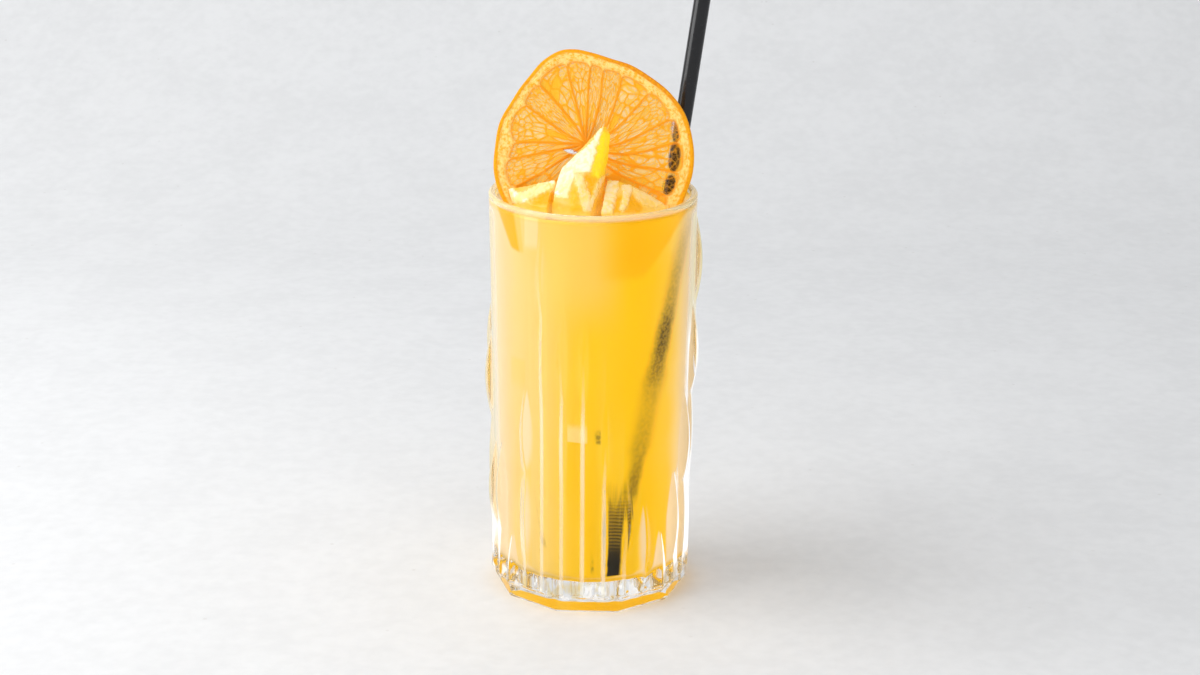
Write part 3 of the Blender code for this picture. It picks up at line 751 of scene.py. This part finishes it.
def make_slice(material):
    """A warped wheel: membranes, pith and juice cells stand out of it as they dried."""
    rows = np.array(slice_rows())
    columns = slice_columns()
    segment = np.array([i for i, _ in columns])[None, :]
    share = np.array([k for _, k in columns])[None, :]
    shape = (len(rows), len(columns))
    reach, side = np.broadcast_to(rows[:, :1], shape), np.broadcast_to(rows[:, 1:], shape)
    lines = np.stack([membrane_angles(i, rows[:, 0]) for i in range(len(MEMBRANES) + 1)], axis=1)
    start, end = lines[:, segment[0]], lines[:, segment[0] + 1]
    degree = start + (end - start) * share
    steps = np.arange(0.0, 360.0, 0.5)
    outline = np.array([slice_radius(step) for step in steps])
    edge = np.interp(degree % 360.0, np.append(steps, 360.0), np.append(outline, outline[0]))
    turn = np.radians(degree)
    radius = reach * edge
    across, along = radius * np.cos(turn), radius * np.sin(turn)

    # Where the flesh and the pith end, as shares of the radius: the pith is widest at the left.
    lobe = 1.0 - np.abs(2.0 * share - 1.0) ** 5
    flesh_end = FLESH_END - 0.062 * around(degree, 181.0, 11.0)
    flesh_end = flesh_end + 0.028 * around(degree + 190.0, 180.0, 26.0)
    flesh_end = flesh_end - 0.04 + 0.044 * lobe + 0.006 * wander(across * 300, along * 300, SEED + 1)
    pith = ease_between(reach, flesh_end - 0.01, flesh_end + 0.01)
    seam = np.exp(-((reach - flesh_end) / 0.011) ** 2)
    rind_start = RIND_START - 0.012 * around(degree, 50.0, 30.0)
    rind = ease_between(reach + 0.003 * wander(across * 900, along * 900, SEED + 2),
                        rind_start - 0.006, rind_start + 0.006)
    from_membrane = np.minimum(share, 1.0 - share) * np.radians(end - start) * radius / MM
    membrane = 1.0 - ease_between(from_membrane, 0.16, 0.7)

    # Juice cells: long and thin, one row behind another, in each segment's own pattern
    width = np.radians(end[-1] - start[-1]) * CELL_ARC_RADIUS / CELL_WIDTH
    narrowing = 0.22 + 0.78 * reach
    u = (share - 0.5) * width * narrowing + segment * CELL_SHIFT
    v = 4.6 * reach + 4.2 * reach ** 4 + segment * CELL_ROW_SHIFT
    u = u + 0.32 * wander(across * 330, along * 330, SEED + 3)
    v = v + 0.32 * wander(across * 260, along * 260, SEED + 4)
    border, tone = cell_borders(u, v, SEED + 5)
    vein = 1.0 - ease_between(border, 0.05, 0.21)
    core = 1.0 - ease_between(reach, 0.05, 0.16)
    tear, thin = tear_mark(across / MM, along / MM), thin_mark(across / MM, along / MM)

    # Half the thickness, in millimetres
    flesh_half = (0.58 + 0.1 * tone + 0.14 * vein) * (1 - core) + 1.15 * core + 0.26 * membrane
    flesh_half = flesh_half * (1.0 - 0.75 * tear)
    pith_half = 1.45 + 0.1 * wander(across * 1500, along * 1500, SEED + 7)
    skin_half = SLICE_RIND_THICKNESS / 2 / MM * 0.96
    raised = ease_between(reach, flesh_end - 0.012, flesh_end + 0.045)
    half = flesh_half * (1 - raised) + pith_half * raised
    half = half * (1 - rind) + skin_half * rind
    outward = side * half * MM + 0.00022 * wander(across * 420, along * 420, SEED + 8) * (1 - rind)
    curl = SLICE_CURL * (across / SLICE_CURL_SPAN) * (along / SLICE_CURL_SPAN)
    wobble = 1.0 + 0.004 * wander(np.cos(turn) * 9, np.sin(turn) * 9, SEED + 9) * reach
    across, along, lift = across * wobble, along * wobble, outward + curl
    lean_sin, lean_cos = math.sin(SLICE_LEAN), math.cos(SLICE_LEAN)
    points = np.stack([SLICE_CORE.x + across, SLICE_CORE.y + along * lean_sin - lift * lean_cos,
                       SLICE_CORE.z + along * lean_cos + lift * lean_sin], axis=-1)
    mesh = round_mesh("dried orange", points.reshape(-1, 3).tolist(), *shape)

    # Two coordinates for the finest threads, across each segment and out from the core
    ends_segment = np.append(segment[0][1:] != segment[0][:-1], True)
    last_u = 0.5 * width * narrowing + segment * CELL_SHIFT
    u_right = np.where(ends_segment, last_u, np.roll(u, -1, axis=1))
    v_right = np.where(ends_segment, v, np.roll(v, -1, axis=1))
    uv = np.stack([np.stack([u[:-1], v[:-1]], -1), np.stack([u_right[:-1], v_right[:-1]], -1),
                   np.stack([u_right[1:], v_right[1:]], -1), np.stack([u[1:], v[1:]], -1)], axis=2)
    mesh.uv_layers.new(name="flesh").data.foreach_set("uv", uv.reshape(-1).astype(np.float32))
    store(mesh, {"vein": vein, "membrane": membrane, "pith": pith, "seam": seam, "rind": rind,
                 "tone": tone, "core": core, "tear": tear, "thin": thin,
                 "brown": around(degree, 52.0, 34.0)})
    tidy_mesh(mesh, weld=2e-6)
    return link("dried_orange_slice", mesh, material)


def ice_hull(corners):
    """A block's corners, joined by flat faces."""
    shape = bmesh.new()
    for corner in corners:
        shape.verts.new([value * MM for value in corner])
    hull = bmesh.ops.convex_hull(shape, input=shape.verts)
    inside = {item for item in hull["geom_interior"] if isinstance(item, bmesh.types.BMVert)}
    bmesh.ops.delete(shape, geom=list(inside), context="VERTS")
    bmesh.ops.recalc_face_normals(shape, faces=shape.faces)
    return shape


def inside_outline(x, y, outline):
    """How far each place is inside a closed outline, below 0 outside it."""
    points = np.array(outline)
    off = np.full(x.shape, 1e3)
    inside = np.zeros(x.shape, bool)
    for (x0, y0), (x1, y1) in zip(points, np.roll(points, -1, axis=0)):
        way_x, way_y = x1 - x0, y1 - y0
        share = np.clip(((x - x0) * way_x + (y - y0) * way_y) / (way_x ** 2 + way_y ** 2), 0.0, 1.0)
        off = np.minimum(off, np.hypot(x - x0 - share * way_x, y - y0 - share * way_y))
        crosses = (y0 > y) != (y1 > y)
        inside ^= crosses & (x < x0 + (y - y0) / (way_y if way_y else 1e-9) * way_x)
    return np.where(inside, off, -off)


def make_ice(node, name, material):
    """A broken block: its frosted faces stand out and its clear ones are sunk."""
    shape = ice_hull(ICE_CORNERS[node])
    mesh = bpy.data.meshes.new(name)
    shape.to_mesh(mesh)
    shape.free()
    item = link(name, mesh, material)
    grain = item.modifiers.new("grain", "REMESH")
    grain.mode = "VOXEL"
    grain.voxel_size = ICE_GRAIN
    ease = item.modifiers.new("worn edges", "SMOOTH")
    ease.factor = 0.5
    ease.iterations = 6
    mesh = plain_mesh_of(item)

    x, y, z = places_of(mesh) / MM
    ragged = 0.4 * wander(x * 1.3, z * 1.3, SEED + 20) + 0.22 * wander(x * 4.1, z * 3.3, SEED + 21)
    slant = z + y / 4 + 0.25 * wander(x * 3.7, z * 4.3, SEED + 22)
    marks = {kind: np.zeros(x.shape) for kind in ("frost", "cream", "deep", "golden")}
    for kind, strength, outline in ICE_ZONES:
        depth = inside_outline(x + ragged, slant, outline)
        marks[kind] = np.maximum(marks[kind], strength * ease_between(depth, -0.55, 0.75))
    relief = ICE_RELIEF * (np.maximum(marks["frost"], marks["cream"]) - marks["deep"] - 0.45)
    store(mesh, marks)
    normals = [vert.normal.copy() for vert in mesh.vertices]
    for vert, normal, step in zip(mesh.vertices, normals, relief):
        rough = noise.fractal(vert.co * 420, 0.8, 2.2, 3)
        vert.co += normal * (0.00016 * rough + step * MM)
    cover(mesh, material)
    return item


def make_straw(material):
    direction = (STRAW_AT_RIM - STRAW_FOOT).normalized()
    first = direction.orthogonal().normalized()
    second = direction.cross(first)
    inner = STRAW_RADIUS - STRAW_WALL
    lip = STRAW_WALL * 0.3
    section = [(STRAW_RADIUS - lip, 0.0), (STRAW_RADIUS, lip)]
    section += [(STRAW_RADIUS, lip + (STRAW_LENGTH - 2 * lip) * i / 40) for i in range(1, 41)]
    section += [(STRAW_RADIUS - lip, STRAW_LENGTH), (inner + lip, STRAW_LENGTH)]
    section += [(inner, STRAW_LENGTH - lip)]
    section += [(inner, STRAW_LENGTH * (1 - i / 8)) for i in range(1, 8)]
    section += [(inner, lip), (inner + lip, 0.0)]
    points = []
    for radius, along in section:
        for i in range(STRAW_SIDES):
            turn = math.tau * i / STRAW_SIDES
            off_axis = (first * math.cos(turn) + second * math.sin(turn)) * radius
            points.append(STRAW_FOOT + direction * along + off_axis)
    mesh = round_mesh("straw", points, len(section), STRAW_SIDES, closed=True)
    tidy_mesh(mesh)
    return link("black_straw", mesh, material)


def clear_glass():
    """Pressed glass with a painted pale highlight down each rib, that lets the lamps through to the tea.
    """
    w = Finish("clear pressed glass")
    x, _, z = w.split(w.place)
    rib_highlight, bulge = w.marks("rib_highlight", "bulge")
    # The painted highlight down each rib, uneven along it and fainter to the right.
    uneven = w.ease(w.grain(30.0, 2.0), 0.25, 0.7, 0.5, 1.0)
    rib_highlight = w.ease(rib_highlight, 0.42, 1.0) * uneven * w.ease(x, 0.009, 0.014, 1.0, 0.5)
    # Painted light: the rim is pale cream.
    tint = w.blend(w.ease(z, 0.1455, 0.1475), (1.0, 1.0, 1.0), (1.0, 0.95, 0.68))
    tint = w.blend(rib_highlight, tint, (1.0, 0.96, 0.82))

    # Where a rib turns away from the eye, the wall shows as plain pale glass with no tea behind it,
    # painted as a pale pane with painted light of its own.
    turned = w.sum("MULTIPLY_ADD", bulge, 0.35, w.facing()) + w.ease(z, 0.046, 0.062, 0.14, 0.0)
    window = w.ease(turned, 0.64, 0.8) * w.ease(abs(x), 0.022, 0.029)
    window = window * w.ease(z, 0.01, 0.015) * w.ease(z, 0.143, 0.147, 1.0, 0.0)
    pane = w.paint(w.blend(w.ease(x, -0.01, 0.01), (0.72, 0.66, 0.47), (0.8, 0.8, 0.8)),
                   (w.ease(z, 0.026, 0.036, 1.0, 0.0), (0.88, 0.88, 0.88)),
                   (w.ease(z, 0.095, 0.112), (0.78, 0.68, 0.4)))
    shine = w.ease(x, -0.02, 0.02, 0.04, 0.42) * w.ease(z, 0.095, 0.112, 1.0, 0.4)
    shine = shine + w.ease(z, 0.026, 0.036, 0.16, 0.0)
    w.glow(pane, window * shine)

    # Under the drink the ribs' ends catch white and amber glints. The rim is painted pale cream, as
    # painted light on clear glass.
    low_wall = w.ease(z, 0.004, 0.006) * w.ease(z, 0.0105, 0.013, 1.0, 0.0)
    facets = w.grain(240.0, 2.0, over=w.vector("MULTIPLY", w.place, (1.0, 1.0, 0.35)))
    amber = low_wall * w.ease(facets, 0.54, 0.6)
    white = low_wall * w.ease(facets, 0.46, 0.4, 0.0, 0.75)
    rim = w.ease(z, 0.1474, 0.1488, 0.0, 0.3)
    solid = w.most(rib_highlight * 0.44, window * w.ease(x, -0.01, 0.01, 0.8, 0.93), white, rim)
    w.shade({"Base Color": w.blend(amber * 0.8, w.blend(window, tint, pane), (1.0, 0.72, 0.2)),
             "Transmission Weight": 1.0 - solid, "IOR": 1.5,
             "Specular IOR Level": 0.3, "Specular Tint": (0.25, 0.25, 0.25),
             "Roughness": w.ease(w.grain(90.0), 0.35, 0.75, 0.0, 0.03),
             "Normal": w.relief(w.grain(55.0, 2.0), 0.00008, 0.5)})
    clear = w.out("ShaderNodeBsdfTransparent", feeds={"Color": (0.97, 0.98, 0.98)})
    lamp_ray = w.out("ShaderNodeLightPath", "Is Shadow Ray")
    mixed = w.out("ShaderNodeMixShader", feeds={0: lamp_ray, 1: Wire(w, w.shader.outputs[0]), 2: clear})
    w.feed(w.tree.nodes["Material Output"].inputs["Surface"], mixed)
    return w.material


def patch(w, at, sides):
    """A spot on the front of the tea: 1 inside its sides, 0 outside. A side is the X and Z of two
    places in mm, with the inside on its left, and how soft it is in mm."""
    x, y, z = at
    inside = w.ease(y, *TEA_FRONT)
    for x0, z0, x1, z1, soft in sides:
        length = math.hypot(x1 - x0, z1 - z0)
        way_x, way_z = (x1 - x0) / length, (z1 - z0) / length
        off = w.sum("MULTIPLY_ADD", z, way_x, (way_z * x0 - way_x * z0) * MM)
        off = w.sum("MULTIPLY_ADD", x, -way_z, off)
        inside = inside * w.ease(off, -soft * MM, soft * MM)
    return inside


def straw_in_tea(w, at):
    """How dark the straw shows: a black end at the front wall, softer the deeper it lies, and painted
    shade in the tea round it near its top.
    """
    x, y, z = at
    rough = (w.grain(300.0) - 0.5) * 0.001
    across = x + rough

    middle = w.sum("MULTIPLY_ADD", z - 0.042, 0.18, 0.0138)
    half = w.level(z, *STREAK_ENDS, STREAK_HALF_WIDTHS) * 0.01
    off = (across - middle) / half
    off = w.most(off * 1.1, off * -0.8)
    streak = w.ease(off, 0.25, 1.75, 1.0, 0.0) * w.level(z, *STREAK_ENDS, STREAK_DARKNESS)
    streak = streak * w.ease(w.grain(900.0, 2.0), 0.3, 0.7, 0.8, 1.15)
    line = w.ease(abs(across - 0.0139), 0.0002, 0.0007, 0.68, 0.0)
    line = line * w.ease(z, 0.034, 0.038) * w.ease(z, 0.047, 0.052, 1.0, 0.0)

    # The lower end, ragged at its top and crossed by fine ridges
    left = w.ease(across, 0.0051, 0.0057)
    right_edge = w.ease(z, 0.014, 0.05, 0.0108, 0.014)
    right = w.ease(across - right_edge, -0.0006, 0.0008, 1.0, 0.0)
    blades = w.grain(1300.0, 2.0, over=w.vector("MULTIPLY", w.place, (1.0, 1.0, 0.08)))
    height = w.sum("MULTIPLY_ADD", blades - 0.5, 0.012, z)
    tall = w.ease(z, 0.0136, 0.0141) * w.level(height, 0.01, 0.07, STRAW_END_DARKNESS)
    ridged = w.sum("MULTIPLY_ADD", rough, 0.9, w.sum("MULTIPLY_ADD", x, 0.12, z))
    ridges = w.ease(w.sum("SINE", ridged * (math.tau / STRAW_RIDGE_STEP)), -1.0, 1.0)
    ridges = ridges * w.ease(z, 0.022, 0.03, 0.0, 0.24)
    lower = left * right * tall * (1.0 - ridges)
    shown = w.most(streak, line, lower) * w.ease(y, -0.012, 0.004, 1.0, 0.0)

    # Painted shade: the tea is darker close round the straw near its top.
    way = (STRAW_AT_RIM - STRAW_FOOT).normalized()
    from_foot = w.vector("SUBTRACT", w.place, tuple(STRAW_FOOT))
    off_axis = w.vector("LENGTH", w.vector("CROSS_PRODUCT", from_foot, tuple(way)), output="Value")
    shade_round_straw = w.sum("EXPONENT", (off_axis - STRAW_RADIUS) * (-1.0 / 0.0024))
    shade_round_straw = w.least(shade_round_straw, 1.0) * w.ease(z, 0.06, 0.11, 0.0, 0.6)
    return w.most(shown, shade_round_straw)


def cloudy_tea():
    """Golden tea with painted light that makes it paler to the left, painted shade, and what is close
    under its surface.
    """
    w = Finish("cloudy golden tea")
    at = x, y, z = w.split(w.place)
    strip, fan = w.marks("strip", "fan")
    cloud = w.grain(38.0, 2.0)
    # Behind, both sides come nearer to the tone of the middle.
    side = w.sum("MULTIPLY_ADD", cloud - 0.5, 0.006, x * w.ease(y, -0.004, 0.012, 1.0, 0.55))
    low = w.ease(z, 0.026, 0.064, 0.75, 0.0) * w.ease(x, -0.014, 0.002)
    high = w.ease(z, 0.102, 0.128) * w.ease(x, -0.001, 0.014, 0.7, 0.0) * w.ease(x, -0.022, -0.012)
    # Steep to the eye the tea is paler, as the wall gathers light there.
    on_wall = w.ease(z, DRINK_LEVEL - 0.001, DRINK_LEVEL - 0.0002, 1.0, 0.0)
    on_wall = on_wall * w.ease(z, FLOOR_HEIGHT + 0.001, FLOOR_HEIGHT + 0.004)
    steep = w.ease(w.facing(), 0.19, 0.3, 0.0, 0.85) * on_wall
    # An amber block of ice shows through the wall, cut off by a slanting edge at its right.
    height = z + (w.grain(120.0) - 0.5) * 0.003
    block = w.ease(height, 0.125, 0.1285) * w.ease(x, -0.001, 0.015)
    block = block * w.ease(w.sum("MULTIPLY_ADD", x, -1.38, height), 0.101, 0.104)
    # Painted light: the tones across, the strips behind the ribs and the steep sides.
    body = w.paint(w.ramp(side, -0.036, 0.036, [(off * MM, tint) for off, tint in TEA_TONES]),
                   (low, DEEP_TEA), (high, (0.91, 0.6, 0.13)), (fan * 0.25, (0.93, 0.64, 0.11)),
                   (w.most(strip, 0.0) * 0.22, DEEP_TEA),
                   (w.most(strip * -1.0, 0.0) * 0.22, (0.93, 0.7, 0.28)),
                   (steep, (0.86, 0.68, 0.44)),
                   (block * w.ease(y, *TEA_FRONT) * 0.92, (0.93, 0.49, 0.001)),
                   *((patch(w, at, sides) * strength, tint) for strength, tint, sides in TEA_LIGHTS))

    # Painted shade: dark spots in the tea, speckled, laid on with the straw's shadow.
    painted_shade = w.most(0.0, *(patch(w, at, sides) * strength for strength, sides in TEA_PAINTED_SHADE))
    painted_shade = painted_shade * w.ease(w.grain(700.0), 0.4, 0.58, 0.25, 1.0)
    body = w.blend(w.most(straw_in_tea(w, at), painted_shade * 0.75), body, (0.02, 0.017, 0.01))

    lit_from_below = w.ease(z, FLOOR_HEIGHT + 0.0001, FLOOR_HEIGHT + 0.001, 0.45, 0.07)
    w.glow(body, lit_from_below + w.ease(x, 0.004, 0.032, 0.0, 0.16))
    top = w.ease(z, DRINK_LEVEL - 0.001, DRINK_LEVEL)
    still = w.sum("MULTIPLY_ADD", cloud, 0.2, top)
    return w.shade({"Base Color": body, "Roughness": w.ease(still, 0.0, 1.1, 0.6, 0.08), "IOR": 1.16,
                    "Normal": w.relief(w.grain(220.0), 0.0002, 0.2)})


def dried_orange():
    """Dried flesh, clear between its orange veins, in a cream pith and a thin orange rind."""
    w = Finish("dried orange")
    uv = w.out("ShaderNodeUVMap", uv_map="flesh")
    vein, membrane, pith, seam, rind = w.marks("vein", "membrane", "pith", "seam", "rind")
    tone, core, tear, thin, brown = w.marks("tone", "core", "tear", "thin", "brown")
    spread = w.out("ShaderNodeTexNoise", "Color", {"Vector": w.place, "Scale": 260.0})
    warped = w.vector("ADD", uv, w.vector("MULTIPLY", spread, (0.5, 0.5, 0.5)))
    cells = w.out("ShaderNodeTexVoronoi", "Distance", {"Vector": warped, "Scale": 1.6},
                  feature="DISTANCE_TO_EDGE")
    hair = w.ease(cells, 0.02, 0.15, 1.0, 0.0)
    dry = w.grain(900.0, 4.0)

    open_cell = w.ease(w.sum("MULTIPLY_ADD", w.grain(110.0, 2.0), 0.6, tone), 0.3, 0.7) * (1.0 - vein)
    flesh = w.paint(w.blend(open_cell, (0.84, 0.44, 0.014), (0.88, 0.6, 0.165)),
                    (hair * 0.75, (0.85, 0.4, 0.01)), (vein * 0.9, (0.86, 0.33, 0.003)),
                    (core * 0.7, (0.86, 0.43, 0.025)), (membrane, (0.86, 0.29, 0.002)),
                    (thin * (0.9 - w.most(vein, membrane)), (0.2, 0.085, 0.01)))
    lengthways = w.grain(2.0, over=w.vector("MULTIPLY", uv, (0.6, 7.0, 1.0)))
    fibres = w.sum("MULTIPLY_ADD", lengthways, 0.5, dry * 0.5)
    white = w.blend(w.ease(fibres, 0.4, 0.56), (0.84, 0.37, 0.01), (0.88, 0.63, 0.2))
    specks = w.ease(w.grain(1300.0, 3.0), 0.45, 0.7)
    skin = w.paint((0.83, 0.355, 0.003), (specks, (0.76, 0.26, 0.003)),
                   (brown * w.ease(dry, 0.35, 0.65, 0.2, 0.85), (0.64, 0.18, 0.005)))
    whole = w.paint(flesh, (pith, white), (rind, skin),
                    (seam * w.ease(dry, 0.35, 0.6, 0.35, 0.9), (0.88, 0.285, 0.003)))
    w.glow(whole, 0.16)

    solid = w.most(membrane, pith, core, rind, vein * 0.95, hair * 0.8, (1.0 - open_cell) * 0.7)
    clearest, fullest = w.ease(thin, 0.0, 1.0, 0.58, 0.05), w.ease(thin, 0.0, 1.0, 1.0, 0.35)
    return w.shade({"Base Color": whole,
                    "Alpha": w.ease(solid, 0.0, 1.0, clearest, fullest) * (1.0 - tear),
                    "Roughness": w.ease(pith, 0.0, 1.0, 0.4, 0.75), "Specular IOR Level": 0.25,
                    "Normal": w.relief(hair * 0.5 + dry, 0.00012, 0.5)})


def wet_ice():
    """Ice with painted light of the tea and the slice seen through it: frosted white, milky, golden or
    clear amber by its marked faces.
    """
    w = Finish("wet frosted ice")
    _, _, z = w.split(w.place)
    frost, cream, deep, golden = w.marks("frost", "cream", "deep", "golden")
    crystals = w.grain(260.0, 4.0, 0.6)
    fibres = w.grain(650.0, 3.0, 0.6, over=w.vector("MULTIPLY", w.place, (1.0, 1.0, 0.3)))
    cloud = w.ease(w.grain(110.0, 3.0), 0.35, 0.65)
    low = w.ease(z, 0.1545, 0.16, 1.0, 0.0)
    white = w.paint((0.97, 0.925, 0.64), (low, (0.97, 0.84, 0.43)),
                    (low * w.ease(crystals, 0.52, 0.62), (0.93, 0.86, 0.86)))
    # The ice's yellows and ambers are painted light: the tea and the slice seen through it.
    tint = w.paint((0.95, 0.59, 0.03), (cloud, (0.95, 0.7, 0.19)),
                   (w.ease(z, 0.148, 0.151, 0.7, 0.0), (0.95, 0.72, 0.2)),
                   (deep * w.ease(fibres, 0.35, 0.6, 0.75, 1.0), (0.94, 0.48, 0.002)),
                   (cream * w.ease(fibres, 0.4, 0.6, 0.35, 1.0), (0.93, 0.72, 0.4)),
                   (golden * w.ease(fibres, 0.35, 0.6, 0.7, 1.0), (0.97, 0.8, 0.02)),
                   (frost * w.ease(fibres, 0.38, 0.56, 0.55, 1.0), white))
    w.glow(tint, 0.14)
    solid = w.most(frost, cream)
    return w.shade({"Base Color": tint, "Transmission Weight": w.ease(solid, 0.2, 0.9, 0.35, 0.08),
                    "Roughness": w.ease(solid, 0.0, 1.0, 0.15, 0.45), "IOR": 1.31,
                    "Normal": w.relief(crystals + fibres, 0.0004, 0.6)})


def black_plastic():
    """Glossy black tube with faint scuffs."""
    w = Finish("glossy black plastic")
    scuffs = w.grain(500.0, 4.0, 0.6)
    return w.shade({"Base Color": w.blend(scuffs, (0.003, 0.003, 0.004), (0.01, 0.01, 0.011)),
                    "Roughness": w.ease(scuffs, 0.3, 0.8, 0.16, 0.3),
                    "Normal": w.relief(w.grain(180.0, 2.0), 0.00006, 0.4)})


def pale_floor():
    """Fine pale plaster with small specks."""
    w = Finish("pale plaster")
    mottle = w.grain(22.0, 6.0, 0.7) * 0.6 + w.grain(160.0, 3.0) * 0.4
    specks = w.out("ShaderNodeTexVoronoi", "Distance", {"Vector": w.place, "Scale": 90.0})
    specks = w.ease(specks, 0.03, 0.1, 1.0, 0.0) * w.ease(w.grain(35.0), 0.5, 0.6, 0.0, 0.35)
    tint = w.paint((0.803, 0.804, 0.808), (w.ease(mottle, 0.35, 0.65), (0.853, 0.854, 0.858)),
                   (specks, (0.62, 0.6, 0.58)))
    return w.shade({"Base Color": tint, "Roughness": 0.85})


def make_stage():
    """A pale sheet that is the floor and bends up into the backdrop."""
    path = [(FLOOR_FRONT, 0.0), (-1.2, 0.0), (-0.4, 0.0), (BEND_START, 0.0)]
    for i in range(1, 25):
        turn = math.pi / 2 * i / 24
        path.append((BEND_START + BEND_RADIUS * math.sin(turn), BEND_RADIUS * (1 - math.cos(turn))))
    path.append((BEND_START + BEND_RADIUS, BACKDROP_TOP))
    verts = [(x, y, z - FLOOR_GAP) for y, z in path for x in (-FLOOR_HALF_WIDTH, FLOOR_HALF_WIDTH)]
    faces = [(2 * i, 2 * i + 1, 2 * i + 3, 2 * i + 2) for i in range(len(path) - 1)]
    mesh = bpy.data.meshes.new("floor")
    mesh.from_pydata(verts, [], faces)
    floor = link("pale_floor", mesh, pale_floor())


def add_lamp(name, place, size, power):
    """A lamp that shines on the glass's middle, with its size in m and its power in W."""
    lamp = bpy.data.lights.new(name, "AREA")
    lamp.shape = "RECTANGLE"
    lamp.size, lamp.size_y = size
    lamp.energy = power
    item = bpy.data.objects.new(name, lamp)
    item.location = place
    item.rotation_euler = (Vector(GLASS_MIDDLE) - Vector(place)).to_track_quat("-Z", "Y").to_euler()
    bpy.context.scene.collection.objects.link(item)
    return item


def make_light():
    world = bpy.data.worlds.new("soft studio")
    world.use_nodes = True
    sky = Wiring(world.node_tree)
    for socket, value in (("Color", SKY_COLOUR), ("Strength", SKY_STRENGTH)):
        sky.feed(world.node_tree.nodes["Background"].inputs[socket], value)
    bpy.context.scene.world = world
    add_lamp("key", (-0.65, -0.1, 0.65), (0.7, 0.7), 5.15)
    add_lamp("back", (-0.4, 1.2, 0.9), (0.6, 0.6), 3.6)
    fill = add_lamp("fill", (0.35, -1.0, 0.12), (0.5, 0.3), 3.0)
    fill.visible_glossy = False


def make_camera():
    lens = bpy.data.cameras.new("camera")
    lens.sensor_width = SENSOR_WIDTH
    lens.lens = FOCAL_PIXELS / PHOTO_WIDTH * SENSOR_WIDTH
    item = bpy.data.objects.new("camera", lens)
    item.location = CAMERA_PLACE
    item.rotation_euler = (math.radians(90.0 - CAMERA_DOWN), 0.0, 0.0)
    item.rotation_euler.rotate_axis("Z", math.radians(CAMERA_ROLL))
    bpy.context.scene.collection.objects.link(item)
    bpy.context.scene.camera = item


def main():
    make_camera()
    make_light()
    make_stage()
    dress(make_glass(clear_glass()), "clear_glass", "glass")
    dress(make_drink(cloudy_tea()), "cloudy_tea", "iced_tea")
    dress(make_slice(dried_orange()), "dried_orange", "orange_slice")
    ice = wet_ice()
    for node, name in (("ice_peak", "peaked_ice"), ("ice_right", "right_ice"), ("ice_left", "left_ice")):
        dress(make_ice(node, name, ice), "wet_ice", node)
    dress(make_straw(black_plastic()), "black_plastic", "straw")
    bpy.context.scene.view_settings.view_transform = "Standard"


main()
